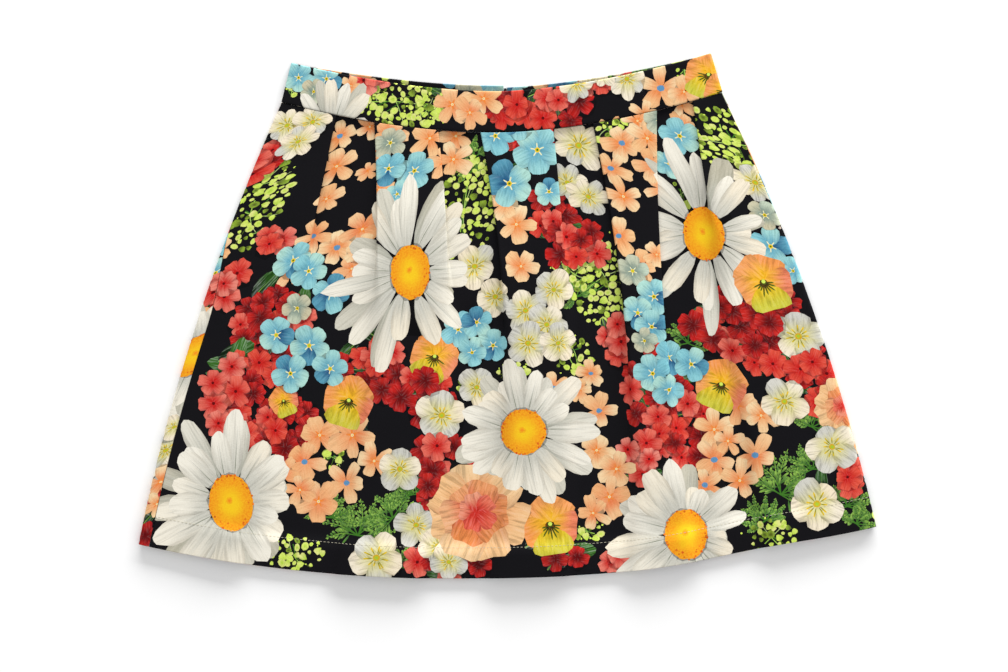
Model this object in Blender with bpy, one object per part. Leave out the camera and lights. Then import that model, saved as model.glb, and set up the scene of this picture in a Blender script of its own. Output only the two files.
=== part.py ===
"""A-line skirt with four inverted pleats, laid flat on its back.

The skirt is a flattened tube of cloth. Its section at each height is one closed loop: the back along the
surface, a rolled fold at each side, and the front on top with its pleats. Every cloth piece is a stretch of
that loop, given a wall. Metres, +Z up, +Y towards the waist, the front facing up.
"""

import math

import bpy
import numpy as np

MM = 0.001

# Cloth and seams
CLOTH = 1.0 * MM  # one layer of skirt cloth
BAND_CLOTH = 2.2 * MM  # waistband, outer and inner layer sewn together
SEAM_GAP = 0.3 * MM  # between pieces that are sewn or lie on each other
EDGE_ROUNDING = 0.62  # share of the wall that is left at a turned edge
EDGE_STEP = 0.4 * MM  # and how far from the edge the wall is whole

# Outline of the skirt body, from above
WAIST_HALF = 189.0 * MM  # half width at the waist seam
HEM_HALF = 316.5 * MM  # half width at the hem
HIP_CURVE = 0.37  # how far the side seams bow out over the hips
HEM_SHIFT = -3.9 * MM  # the hem lies this far to the side of the waist
FRONT_WAIST_Y = 161.0 * MM  # waist seam at centre front
SIDE_WAIST_Y = 191.0 * MM  # waist seam at the side seams
BACK_RISE = 5.0 * MM  # how much higher the back lies at the centre, down to nothing at the sides
BACK_RISE_SHARE = 0.94  # of the half width
HEM_Y = -221.5 * MM  # hem at centre front
HEM_RISE = 36.0 * MM  # how much higher the hem is at the side seams
HEM_KICK = 5.0 * MM  # the hem lifts here, on the right
HEM_KICK_AT = 0.70
HEM_KICK_WIDTH = 0.22

# Waistband
BAND_TOP_HALF = 179.7 * MM
FRONT_BAND_TOP_Y = 196.5 * MM  # top edge at centre front
SIDE_BAND_TOP_Y = 225.0 * MM
BACK_BAND_STEP = 1.8 * MM  # the right half of the back band closes this much lower
CENTRE_BACK_X = 3.0 * MM

# Rolled side folds and the side seams, which lie to one side of the folds
SIDE_ROLL = (1.6 * MM, 2.9 * MM)  # radius at the waist and at the hem
BAND_ROLL = 1.35 * MM
SEAM_ROLL_START, SEAM_ROLL_END = 0.22, 0.50  # heights between which the seams roll off the folds
SEAM_AT_WAIST, SEAM_AT_HEM = -1.2 * MM, 10.5 * MM  # seam beyond the fold, along the cloth
LAP_RUN = 2.0 * MM  # the flat stretch that belongs to each rolled edge

# Hem: the edge is turned up inside
HEM_DEPTH_V = 0.066  # turned-up depth as a share of the skirt's length
HEM_RAMP_V = 0.012

# Pleats. Each row is one fold edge: where it lies at the waist, a third of the way down and at the hem
# (mm from the centre line), the way the edge faces, how deep it is folded under at the waist (mm), the
# height at which it has opened (share of the length), and how high it stands there and at the hem (mm).
PLEAT_COLUMNS = ("waist", "third", "hem", "faces", "under", "release", "stands", "hem_stands")
PLEATS = (
    (-143.0, -174.0, -232.0, +1, 9.0, 0.22, 4.6, 4.2),
    (-109.7, -112.0, -152.0, -1, 9.0, 0.24, 5.2, 4.6),
    (-56.0, -50.0, -78.0, +1, 9.0, 0.24, 5.2, 4.6),
    (-18.7, -3.0, -18.0, -1, 9.0, 0.32, 6.4, 5.0),
    (42.8, 51.0, 46.0, +1, 9.0, 0.20, 5.4, 4.6),
    (77.8, 98.0, 101.0, -1, 9.0, 0.46, 7.4, 5.6),
    (132.2, 133.0, 158.0, +1, 9.0, 0.44, 6.6, 5.0),
    (164.0, 182.0, 218.0, -1, 9.0, 0.18, 4.6, 4.2),
)
THIRD_V = 0.35  # the height that the column "third" speaks of
FOLD_END_ANGLE = math.radians(27.0)  # slope of an opened fold at the hem
MIN_FOLD_RADIUS = (CLOTH + SEAM_GAP) / 2

# Zip in the centre back seam, from the band's top edge down. Each row is one place along it: which edge it
# is measured from, how far below that edge it lies, its half width and the height of its inner side (mm).
ZIP_COLUMNS = ("from_edge", "below", "half_width", "height")
ZIP_SECTIONS = (
    ("band_top", 2.4, 1.2, 1.9),
    ("band_top", 4.0, 1.2, 1.9),
    ("band_top", 4.3, 1.2, 2.35),
    ("band_top", 12.0, 1.2, 2.35),
    ("band_top", 12.3, 1.2, 1.9),
    ("waist_seam", -0.15, 1.2, 1.9),
    ("waist_seam", 0.15, 1.2, 1.0),
    ("zip_end", 0.0, 1.2, 1.0),
)
ZIP_CLEARANCE = 1.2 * MM + SEAM_GAP  # from the centre back line to the cloth beside the zip
ZIP_END_V = 0.44  # the height at which it ends, and the one where the seam below it is closed
ZIP_CLOSED_V = 0.46
ZIP_UNDERSIDE = 0.25 * MM  # it lies a little above the surface that the cloth rests on

# How finely the solids are cut
SKIRT_ROWS = (
    0.0, 0.03, 0.07, 0.11, 0.15, 0.19, 0.225, 0.25, 0.275, 0.30, 0.325,
    0.35, 0.39, 0.44, 0.46, 0.52, 0.61, 0.72, 0.83, 0.918, 0.936, 0.97, 1.0,
)
BAND_ROWS = (1.0, 0.94, 0.5, 0.06, 0.0)
ARC_STEPS = 4
FOLD_STEPS = 3
RUN_STEPS = 3
BACK_STEPS = 7
BAND_STEPS = 16


def smooth(low, high, value):
    """0 below low, 1 above high, and an even S between them."""
    share = min(1.0, max(0.0, (value - low) / (high - low)))
    return share * share * (3 - 2 * share)


def mix(start, end, share):
    return start + (end - start) * share


def through(three, v):
    """The smooth curve through values at heights 0, THIRD_V and 1."""
    waist, third, hem = three
    bend = ((third - waist) / THIRD_V - (hem - waist)) / (THIRD_V - 1)
    return waist + v * (hem - waist) + bend * v * (v - 1)


# ---- the outline of the tube


def half_width(v):
    return mix(WAIST_HALF, HEM_HALF, v * (1 + HIP_CURVE * (1 - v)))


def side_x(v, side):
    """The outermost x of the skirt body at height v, on side -1 or +1."""
    return side * half_width(v) + HEM_SHIFT * v


def hem_turn(v):
    """1 where the hem is turned up inside, 0 above it."""
    return smooth(1 - HEM_DEPTH_V - HEM_RAMP_V, 1 - HEM_DEPTH_V, v)


def waist_y(across, rise):
    """The waist seam. across runs from 0 at the centre to 1 at a side; rise is for the back."""
    lift = rise * max(0.0, 1 - (across / BACK_RISE_SHARE) ** 2)
    return mix(FRONT_WAIST_Y, SIDE_WAIST_Y, across**1.8) + lift


def body_y(x, v, rise=0.0):
    """The height line v of the skirt body: an arc along the waist seam, changing into the arc of the hem."""
    across = min(1.0, abs(x - HEM_SHIFT * v) / half_width(v))
    kick = HEM_KICK * math.exp(-(((math.copysign(across, x) - HEM_KICK_AT) / HEM_KICK_WIDTH) ** 2))
    hem = HEM_Y + HEM_RISE * across**2.2 + kick
    return mix(waist_y(across, rise), hem, v)


def band_y(x, u, rise=0.0):
    """The height line u of the waistband, from its seam at 0 to its top edge at 1."""
    across = min(1.0, abs(x) / band_half(u))
    lift = rise * max(0.0, 1 - (across / BACK_RISE_SHARE) ** 2)
    top = mix(FRONT_BAND_TOP_Y, SIDE_BAND_TOP_Y, across**1.7) + lift
    return mix(waist_y(across, rise) + SEAM_GAP, top, u)


def band_half(u):
    return mix(WAIST_HALF, BAND_TOP_HALF, u)


def side_roll(v):
    return mix(*SIDE_ROLL, v)


def seam_offset(v):
    """How far the side seam lies from the fold, along the cloth."""
    return mix(SEAM_AT_WAIST, SEAM_AT_HEM, smooth(SEAM_ROLL_START, SEAM_ROLL_END, v))


def round_side(edge_x, side, radius, floor_z, along):
    """A point of the loop near a side fold. along is the distance from the outermost point, upwards."""
    quarter = math.pi * radius / 2
    if abs(along) <= quarter:
        angle = along / radius
        return (edge_x - side * radius * (1 - math.cos(angle)), floor_z + radius * (1 + math.sin(angle)))
    inward = abs(along) - quarter
    return (edge_x - side * (radius + inward), floor_z + (2 * radius if along > 0 else 0.0))


def seam_stretch(edge_x, side, radius, floor_z, seam, inner, steps):
    """Points of the loop from its seam edge to another place, both given as distances along the fold."""
    first = mix(seam, inner, EDGE_STEP / abs(inner - seam))
    stations = [seam] + [mix(first, inner, step / steps) for step in range(steps + 1)]
    return [round_side(edge_x, side, radius, floor_z, along) for along in stations]


# ---- the front's section, with its pleats


def pleat_rows():
    return [dict(zip(PLEAT_COLUMNS, row)) for row in PLEATS]


def front_floor_z(v):
    """Centre of the cloth where the front lies on the back."""
    return CLOTH + SEAM_GAP + CLOTH / 2 + 2 * CLOTH * hem_turn(v)


def fold_shape(pleat, v):
    """The S of one fold: (drop, radius of its two bends, angle it turns through, length between them)."""
    release = pleat["release"]
    pressed = 4 * MIN_FOLD_RADIUS
    rise = smooth(0.25 * release, 1.1 * release, v)
    drop = mix(pressed, pleat["stands"] * MM, rise)
    drop = mix(drop, pleat["hem_stands"] * MM, smooth(release, 1.0, v))
    angle = mix(math.pi, FOLD_END_ANGLE, smooth(0.45 * release, 1.75 * release, v))
    straight = mix(pleat["under"] * MM, 2.0 * MM, smooth(0.0, release, v))
    turned = 2 * (1 - math.cos(angle))
    if math.sin(angle) > 1e-4:
        straight = min(straight, max(0.0, drop - MIN_FOLD_RADIUS * turned) / math.sin(angle))
    radius = max(MIN_FOLD_RADIUS, (drop - straight * math.sin(angle)) / turned)
    return drop, radius, angle, straight


def fold_points(pleat, v):
    """Points of one fold from its upper to its lower end, as (x, height above the floor of the front)."""
    drop, radius, angle, straight = fold_shape(pleat, v)
    edge = through([pleat[name] * MM for name in ("waist", "third", "hem")], v)
    reach = radius * (1.0 if angle > math.pi / 2 else math.sin(angle))
    points = []
    for step in range(FOLD_STEPS + 1):
        turn = angle * step / FOLD_STEPS
        points.append((radius * math.sin(turn), drop - radius * (1 - math.cos(turn))))
    out, down = points[-1]
    out += straight * math.cos(angle)
    down -= straight * math.sin(angle)
    points.append((out, down))
    for step in range(1, FOLD_STEPS + 1):
        turn = angle * (1 - step / FOLD_STEPS)
        points.append((
            out + radius * (math.sin(angle) - math.sin(turn)),
            down - radius * (math.cos(turn) - math.cos(angle)),
        ))
    return [(edge + pleat["faces"] * (x - reach), z) for x, z in points]


def run_between(start, end, steps):
    """Points between two ends of a run, the ends left out, with an even S between their heights."""
    points = []
    for step in range(1, steps):
        share = step / steps
        points.append((mix(start[0], end[0], share), mix(start[1], end[1], smooth(0, 1, share))))
    return points


def front_section(v):
    """The front's centre line at height v, as (x, z), from its left seam to its right seam."""
    floor, radius, seam = CLOTH / 2, side_roll(v), seam_offset(v)
    left, right = side_x(v, -1), side_x(v, +1)
    quarter = math.pi * radius / 2
    flat_start = max(quarter, seam) + LAP_RUN
    points = seam_stretch(left, -1, radius, floor, seam + SEAM_GAP / 2, flat_start, ARC_STEPS)
    base = front_floor_z(v)
    for pleat in pleat_rows():
        fold = [(x, base + z) for x, z in fold_points(pleat, v)]
        if pleat["faces"] < 0:
            fold.reverse()
        points += run_between(points[-1], fold[0], RUN_STEPS)
        points += fold
    stretch = seam_stretch(right, +1, radius, floor, SEAM_GAP / 2 - seam, quarter + LAP_RUN, ARC_STEPS + 3)
    points += run_between(points[-1], stretch[-1], RUN_STEPS + 1)
    return points + stretch[::-1]


# ---- building walls


def end_direction(end, near, far):
    """The curve's direction at its end, from the parabola through its last three points."""
    to_near, to_far = near - end, far - end
    near_length = np.linalg.norm(to_near, axis=-1, keepdims=True)
    far_length = np.linalg.norm(to_far, axis=-1, keepdims=True)
    return to_near * far_length**2 - to_far * near_length**2


def wall(name, rows, thickness_out, thickness_in, material):
    """A closed wall around a grid of centre points. rows[i][j] is (x, y, z); each row runs across the cloth.

    The outer side is to the left of each row's direction, seen along +Y. The two thickness lists give each
    row's distance from the centre line to that side and to the other. The wall thins at both ends of a row.
    """
    centre = np.array(rows)
    along = np.empty_like(centre)
    along[:, 1:-1] = centre[:, 2:] - centre[:, :-2]
    along[:, 0] = end_direction(centre[:, 0], centre[:, 1], centre[:, 2])
    along[:, -1] = -end_direction(centre[:, -1], centre[:, -2], centre[:, -3])
    outward = np.stack([-along[..., 2], np.zeros(along.shape[:2]), along[..., 0]], axis=-1)
    outward /= np.linalg.norm(outward, axis=-1, keepdims=True)
    share = np.ones(centre.shape[1])
    share[[0, -1]] = EDGE_ROUNDING
    outer = centre + outward * np.outer(thickness_out, share)[..., None]
    inner = centre - outward * np.outer(thickness_in, share)[..., None]
    count, width = centre.shape[:2]
    points = np.concatenate([outer.reshape(-1, 3), inner.reshape(-1, 3)])

    def index(i, j, side):
        return side * count * width + i * width + j

    faces = []
    for i in range(count - 1):
        for j in range(width - 1):
            faces.append([index(i, j, 0), index(i + 1, j, 0), index(i + 1, j + 1, 0), index(i, j + 1, 0)])
            faces.append([index(i, j, 1), index(i, j + 1, 1), index(i + 1, j + 1, 1), index(i + 1, j, 1)])
    for i in range(count - 1):
        faces.append([index(i, 0, 0), index(i, 0, 1), index(i + 1, 0, 1), index(i + 1, 0, 0)])
        last = width - 1
        faces.append([index(i, last, 0), index(i + 1, last, 0), index(i + 1, last, 1), index(i, last, 1)])
    for j in range(width - 1):
        faces.append([index(0, j, 0), index(0, j + 1, 0), index(0, j + 1, 1), index(0, j, 1)])
        end = count - 1
        faces.append([index(end, j, 0), index(end, j, 1), index(end, j + 1, 1), index(end, j + 1, 0)])
    return make_object(name, points.tolist(), faces, material)


def make_object(name, points, faces, material):
    mesh = bpy.data.meshes.new(name)
    mesh.from_pydata(points, [], faces)
    mesh.update()
    mesh.shade_smooth()
    mesh.set_sharp_from_angle(angle=math.radians(40))
    mesh.materials.append(material)
    obj = bpy.data.objects.new(name, mesh)
    bpy.context.scene.collection.objects.link(obj)
    return obj


def make_material(name, colour, roughness):
    material = bpy.data.materials.new(name)
    material.use_nodes = True
    shader = material.node_tree.nodes["Principled BSDF"]
    shader.inputs["Base Color"].default_value = (*colour, 1)
    shader.inputs["Roughness"].default_value = roughness
    shader.inputs["Metallic"].default_value = 0.0
    return material


def body_walls(rows):
    """Outer and inner half thickness of the skirt cloth at each height, with its turned-up hem."""
    outer, inner = [], []
    for v in rows:
        edge = EDGE_ROUNDING if v in (0.0, 1.0) else 1.0
        outer.append(edge * CLOTH / 2)
        inner.append(edge * (CLOTH / 2 + CLOTH * hem_turn(v)))
    return outer, inner


def band_walls():
    half = [BAND_CLOTH / 2 * (EDGE_ROUNDING if u in (0.0, 1.0) else 1.0) for u in BAND_ROWS]
    return half, half


# ---- the pieces


def skirt_front(material):
    rows = []
    for v in SKIRT_ROWS:
        rows.append([(x, body_y(x, v), z) for x, z in front_section(v)])
    return wall("skirt_front", rows, *body_walls(SKIRT_ROWS), material)


def skirt_back(name, side, material):
    """One half of the back, from the zip to its side seam."""
    floor, rows = CLOTH / 2, []
    for v in SKIRT_ROWS:
        middle = CENTRE_BACK_X + side * mix(ZIP_CLEARANCE, SEAM_GAP / 2, smooth(ZIP_END_V, ZIP_CLOSED_V, v))
        radius, edge = side_roll(v), side_x(v, side)
        seam = -side * seam_offset(v) - SEAM_GAP / 2
        flat_end = min(-math.pi * radius / 2, seam) - LAP_RUN
        stretch = seam_stretch(edge, side, radius, floor, seam, flat_end, ARC_STEPS + 3)
        flat = [(mix(middle, stretch[-1][0], step / BACK_STEPS), floor) for step in range(BACK_STEPS)]
        points = flat + stretch[::-1]
        rows.append([(x, body_y(x, v, BACK_RISE), z) for x, z in points])
    if side > 0:
        rows = [row[::-1] for row in rows]
    return wall(name, rows, *body_walls(SKIRT_ROWS), material)


def waistband_front(material):
    floor, rows = BAND_CLOTH / 2, []
    for u in BAND_ROWS:
        half, over = band_half(u), math.pi * BAND_ROLL / 2
        points = seam_stretch(-half, -1, BAND_ROLL, floor, SEAM_GAP / 2, over, ARC_STEPS)
        stretch = seam_stretch(half, +1, BAND_ROLL, floor, SEAM_GAP / 2, over, ARC_STEPS)
        points += run_between(points[-1], stretch[-1], BAND_STEPS) + stretch[::-1]
        rows.append([(x, band_y(x, u), z) for x, z in points])
    return wall("waistband_front", rows, *band_walls(), material)


def waistband_back(name, side, material):
    floor, rows = BAND_CLOTH / 2, []
    middle = CENTRE_BACK_X + side * ZIP_CLEARANCE
    rise = BACK_RISE - (BACK_BAND_STEP if side > 0 else 0.0)
    for u in BAND_ROWS:
        half, under = band_half(u), -math.pi * BAND_ROLL / 2
        stretch = seam_stretch(side * half, side, BAND_ROLL, floor, -SEAM_GAP / 2, under, ARC_STEPS)
        flat = [(mix(middle, stretch[-1][0], step / BACK_STEPS), floor) for step in range(BACK_STEPS)]
        points = flat + stretch[::-1]
        rows.append([(x, band_y(x, u, mix(BACK_RISE, rise, u)), z) for x, z in points])
    if side > 0:
        rows = [row[::-1] for row in rows]
    return wall(name, rows, *band_walls(), material)


def zip_strip(material):
    """The closed zip between the two halves of the back, with its slider at the top, on the inside."""
    edges = {
        "band_top": band_y(CENTRE_BACK_X, 1.0, BACK_RISE),
        "waist_seam": waist_y(0.0, BACK_RISE) + SEAM_GAP / 2,
        "zip_end": body_y(CENTRE_BACK_X, ZIP_END_V, BACK_RISE),
    }
    points, faces = [], []
    for row in ZIP_SECTIONS:
        section = dict(zip(ZIP_COLUMNS, row))
        y = edges[section["from_edge"]] - section["below"] * MM
        left, right = (CENTRE_BACK_X + side * section["half_width"] * MM for side in (-1, 1))
        low, high = ZIP_UNDERSIDE, section["height"] * MM
        points += [(left, y, low), (right, y, low), (right, y, high), (left, y, high)]
    for start in range(0, len(points) - 4, 4):
        for k in range(4):
            after = (k + 1) % 4
            faces.append([start + k, start + after, start + 4 + after, start + 4 + k])
    last = len(points)
    faces += [[3, 2, 1, 0], [last - 4, last - 3, last - 2, last - 1]]
    return make_object("zip", points, faces, material)


def centre_on_origin(objects):
    """Moves the pieces so that the origin is under the middle of their common box."""
    corners = np.concatenate([np.array([v.co for v in obj.data.vertices]) for obj in objects])
    low, high = corners.min(axis=0), corners.max(axis=0)
    for obj in objects:
        obj.location = (-(low[0] + high[0]) / 2, -(low[1] + high[1]) / 2, -low[2])


def main():
    for obj in list(bpy.data.objects):
        bpy.data.objects.remove(obj)
    print_cloth = make_material("print_cloth", (0.42, 0.24, 0.17), 0.55)
    band_cloth = make_material("band_cloth", (0.36, 0.26, 0.16), 0.55)
    zip_coil = make_material("zip_coil", (0.02, 0.02, 0.025), 0.4)
    centre_on_origin([
        skirt_front(print_cloth),
        skirt_back("skirt_back_left", -1, print_cloth),
        skirt_back("skirt_back_right", +1, print_cloth),
        waistband_front(band_cloth),
        waistband_back("waistband_back_left", -1, band_cloth),
        waistband_back("waistband_back_right", +1, band_cloth),
        zip_strip(zip_coil),
    ])


main()
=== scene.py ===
"""The looks of a short a-line skirt in a floral print, laid flat and seen from above.

Every cloth piece is a thin shell: a grid of points worked out from the skirt's sizes, cut along the outlines
of the printed flowers, so that each face belongs to one petal, leaf or patch of ground. The faces carry the
petal's own coordinates and colours as attributes, and one material turns them into shaded, veined petals.
Lengths are in metres; the tables are in millimetres.
"""

import math

import bpy
import numpy as np
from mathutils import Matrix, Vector
from mathutils.geometry import delaunay_2d_cdt


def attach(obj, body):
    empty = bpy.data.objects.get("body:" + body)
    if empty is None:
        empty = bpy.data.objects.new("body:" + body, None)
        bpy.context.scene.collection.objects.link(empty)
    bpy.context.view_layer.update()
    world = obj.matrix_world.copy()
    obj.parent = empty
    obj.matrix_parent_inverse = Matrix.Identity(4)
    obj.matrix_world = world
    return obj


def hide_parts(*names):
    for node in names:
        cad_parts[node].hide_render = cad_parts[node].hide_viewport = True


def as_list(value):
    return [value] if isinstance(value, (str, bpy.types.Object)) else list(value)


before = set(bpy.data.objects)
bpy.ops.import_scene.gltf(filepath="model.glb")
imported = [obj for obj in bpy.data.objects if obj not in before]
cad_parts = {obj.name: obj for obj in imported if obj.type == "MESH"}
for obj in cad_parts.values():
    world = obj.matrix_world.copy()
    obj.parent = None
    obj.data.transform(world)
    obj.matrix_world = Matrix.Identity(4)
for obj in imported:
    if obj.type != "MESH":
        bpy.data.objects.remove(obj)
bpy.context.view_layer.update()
MM = 0.001

# ---------------------------------------------------------------- the skirt's sizes, as the solids have them
CLOTH = 1.0 * MM
BAND_CLOTH = 2.2 * MM
SEAM_GAP = 0.3 * MM
WAIST_HALF = 189.0 * MM
HEM_HALF = 316.5 * MM
HIP_CURVE = 0.37
HEM_SHIFT = -3.9 * MM
FRONT_WAIST_Y = 161.0 * MM
SIDE_WAIST_Y = 191.0 * MM
BACK_RISE = 5.0 * MM
BACK_RISE_SHARE = 0.94
HEM_Y = -221.5 * MM
HEM_RISE = 36.0 * MM
HEM_KICK = 5.0 * MM
HEM_KICK_AT = 0.70
HEM_KICK_WIDTH = 0.22
WAIST_BEND, HEM_BEND, BAND_TOP_BEND = 1.8, 2.2, 1.7  # over 1 bends an edge more towards the sides
BAND_TOP_HALF = 179.7 * MM
FRONT_BAND_TOP_Y = 196.5 * MM
SIDE_BAND_TOP_Y = 225.0 * MM
BACK_BAND_STEP = 1.8 * MM
CENTRE_BACK_X = 3.0 * MM
ZIP_CLEARANCE = 1.5 * MM
ZIP_END_V, ZIP_CLOSED_V = 0.44, 0.46
SIDE_ROLL = (1.6 * MM, 2.9 * MM)
BAND_ROLL = 1.35 * MM
SEAM_ROLL_START, SEAM_ROLL_END = 0.22, 0.50
SEAM_AT_WAIST, SEAM_AT_HEM = -1.2 * MM, 10.5 * MM
LAP_RUN = 2.0 * MM
HEM_DEPTH_V = 0.066
HEM_RAMP_V = 0.012
PLEAT_COLUMNS = ("waist", "third", "hem", "faces", "under", "release", "stands", "hem_stands")
PLEATS = (
    (-143.0, -174.0, -232.0, +1, 9.0, 0.22, 4.6, 4.2),
    (-109.7, -112.0, -152.0, -1, 9.0, 0.24, 5.2, 4.6),
    (-56.0, -50.0, -78.0, +1, 9.0, 0.24, 5.2, 4.6),
    (-18.7, -3.0, -18.0, -1, 9.0, 0.32, 6.4, 5.0),
    (42.8, 51.0, 46.0, +1, 9.0, 0.20, 5.4, 4.6),
    (77.8, 98.0, 101.0, -1, 9.0, 0.46, 7.4, 5.6),
    (132.2, 133.0, 158.0, +1, 9.0, 0.44, 6.6, 5.0),
    (164.0, 182.0, 218.0, -1, 9.0, 0.18, 4.6, 4.2),
)
THIRD_V = 0.35
FOLD_END_ANGLE = math.radians(27.0)
MIN_FOLD_RADIUS = (CLOTH + SEAM_GAP) / 2
UNDER_BELOW_RELEASE = 2.0 * MM  # the flat part under a fold where the pleat has opened

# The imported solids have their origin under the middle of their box, and the sizes here are from the waist
ORIGIN = np.array([HEM_SHIFT, (SIDE_BAND_TOP_Y + HEM_Y) / 2, 0.0])

# How finely the shells are cut
SKIRT_ROW_STEP, BAND_ROW_STEP = 0.012, 0.06  # shares of the length
SKIRT_LENGTH, BAND_WIDTH = 390.0 * MM, 35.0 * MM  # about, for the short steps at their edges
FOLD_STEPS = 6
RUN_STEPS = 10
SIDE_STEPS = 7
BACK_STEPS = 40
BAND_RUN_STEPS = 60
EDGE_STEPS = (0.0, 0.12, 0.45, 1.0)  # distances from an edge, as shares of the wall, that round it off

# The camera looks straight down. It is turned so that the skirt lies as it does in the picture.
PICTURE_WIDTH = 1008  # in pixels
MM_PER_PIXEL = 0.86
SKIRT_TURN = math.radians(1.3)  # of the skirt in the picture, anticlockwise
PICTURE_CENTRE = (-2.6, -13.8)  # the picture's middle in mm from the skirt's centre, along its own sides


def smooth(low, high, value):
    """0 below low, 1 above high, and an even S between them."""
    share = min(1.0, max(0.0, (value - low) / (high - low)))
    return share * share * (3 - 2 * share)


def mix(start, end, share):
    return start + (end - start) * share


# ---------------------------------------------------------------- the outline of the tube


def through(three, v):
    """The smooth curve through values at heights 0, THIRD_V and 1."""
    waist, third, hem = three
    bend = ((third - waist) / THIRD_V - (hem - waist)) / (THIRD_V - 1)
    return waist + v * (hem - waist) + bend * v * (v - 1)


def half_width(v):
    return mix(WAIST_HALF, HEM_HALF, v * (1 + HIP_CURVE * (1 - v)))


def band_half(u):
    return mix(WAIST_HALF, BAND_TOP_HALF, u)


def side_x(v, side):
    return side * half_width(v) + HEM_SHIFT * v


def hem_turn(v):
    """1 where the hem is turned up inside, 0 above it."""
    return smooth(1 - HEM_DEPTH_V - HEM_RAMP_V, 1 - HEM_DEPTH_V, v)


def waist_y(across, rise):
    lift = rise * max(0.0, 1 - (across / BACK_RISE_SHARE) ** 2)
    return mix(FRONT_WAIST_Y, SIDE_WAIST_Y, across**WAIST_BEND) + lift


def body_y(x, v, rise=0.0):
    """The height line v of the skirt body, from the waist seam at 0 to the hem at 1."""
    across = min(1.0, abs(x - HEM_SHIFT * v) / half_width(v))
    kick = HEM_KICK * math.exp(-(((math.copysign(across, x) - HEM_KICK_AT) / HEM_KICK_WIDTH) ** 2))
    hem = HEM_Y + HEM_RISE * across**HEM_BEND + kick
    return mix(waist_y(across, rise), hem, v)


def band_y(x, u, rise=0.0):
    """The height line u of the waistband, from its seam at 0 to its top edge at 1."""
    across = min(1.0, abs(x) / band_half(u))
    lift = rise * max(0.0, 1 - (across / BACK_RISE_SHARE) ** 2)
    top = mix(FRONT_BAND_TOP_Y, SIDE_BAND_TOP_Y, across**BAND_TOP_BEND) + lift
    return mix(waist_y(across, rise) + SEAM_GAP, top, u)


def seam_offset(v):
    return mix(SEAM_AT_WAIST, SEAM_AT_HEM, smooth(SEAM_ROLL_START, SEAM_ROLL_END, v))


def round_side(edge_x, side, radius, floor_z, along):
    """A point of the loop near a side fold. along is the distance from the outermost point, upwards."""
    quarter = math.pi * radius / 2
    if abs(along) <= quarter:
        angle = along / radius
        return (edge_x - side * radius * (1 - math.cos(angle)), floor_z + radius * (1 + math.sin(angle)))
    inward = abs(along) - quarter
    return (edge_x - side * (radius + inward), floor_z + (2 * radius if along > 0 else 0.0))


def seam_stretch(edge_x, side, radius, floor_z, seam, inner, steps, wall):
    """Points of the loop from its seam edge to another place, with the short steps that round the edge."""
    way = math.copysign(1.0, inner - seam)
    first = seam + way * wall
    stations = [seam + way * wall * share for share in EDGE_STEPS]
    stations += [mix(first, inner, step / steps) for step in range(1, steps + 1)]
    return [round_side(edge_x, side, radius, floor_z, along) for along in stations]


# ---------------------------------------------------------------- the front's section, with its pleats


def front_floor_z(v):
    return CLOTH + SEAM_GAP + CLOTH / 2 + 2 * CLOTH * hem_turn(v)


def fold_points(pleat, v):
    """Points of one fold from its upper to its lower end, as (x, height above the floor of the front)."""
    release = pleat["release"]
    drop = mix(4 * MIN_FOLD_RADIUS, pleat["stands"] * MM, smooth(0.25 * release, 1.1 * release, v))
    drop = mix(drop, pleat["hem_stands"] * MM, smooth(release, 1.0, v))
    angle = mix(math.pi, FOLD_END_ANGLE, smooth(0.45 * release, 1.75 * release, v))
    straight = mix(pleat["under"] * MM, UNDER_BELOW_RELEASE, smooth(0.0, release, v))
    turned = 2 * (1 - math.cos(angle))
    if math.sin(angle) > 1e-4:
        straight = min(straight, max(0.0, drop - MIN_FOLD_RADIUS * turned) / math.sin(angle))
    radius = max(MIN_FOLD_RADIUS, (drop - straight * math.sin(angle)) / turned)
    edge = through([pleat[name] * MM for name in ("waist", "third", "hem")], v)
    reach = radius * (1.0 if angle > math.pi / 2 else math.sin(angle))
    points = []
    for step in range(FOLD_STEPS + 1):
        turn = angle * step / FOLD_STEPS
        points.append((radius * math.sin(turn), drop - radius * (1 - math.cos(turn))))
    out, down = points[-1]
    out += straight * math.cos(angle)
    down -= straight * math.sin(angle)
    points.append((out, down))
    for step in range(1, FOLD_STEPS + 1):
        turn = angle * (1 - step / FOLD_STEPS)
        bent = radius * (math.sin(angle) - math.sin(turn))
        points.append((out + bent, down - radius * (math.cos(turn) - math.cos(angle))))
    return [(edge + pleat["faces"] * (x - reach), z) for x, z in points]


def run_between(start, end, steps):
    points = []
    for step in range(1, steps):
        share = step / steps
        points.append((mix(start[0], end[0], share), mix(start[1], end[1], smooth(0, 1, share))))
    return points


def front_section(v):
    """The front's centre line at height v, as (x, z), from its left seam to its right seam."""
    floor, radius, seam = CLOTH / 2, mix(*SIDE_ROLL, v), seam_offset(v)
    left, right = side_x(v, -1), side_x(v, +1)
    quarter = math.pi * radius / 2
    flat_start = max(quarter, seam) + LAP_RUN
    wall = CLOTH / 2
    points = seam_stretch(left, -1, radius, floor, seam + SEAM_GAP / 2, flat_start, SIDE_STEPS, wall)
    base = front_floor_z(v)
    for row in PLEATS:
        pleat = dict(zip(PLEAT_COLUMNS, row))
        fold = [(x, base + z) for x, z in fold_points(pleat, v)]
        if pleat["faces"] < 0:
            fold.reverse()
        points += run_between(points[-1], fold[0], RUN_STEPS)
        points += fold
    stretch = seam_stretch(
        right, +1, radius, floor, SEAM_GAP / 2 - seam, quarter + LAP_RUN, SIDE_STEPS + 3, wall
    )
    points += run_between(points[-1], stretch[-1], RUN_STEPS)
    return points + stretch[::-1]


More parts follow.
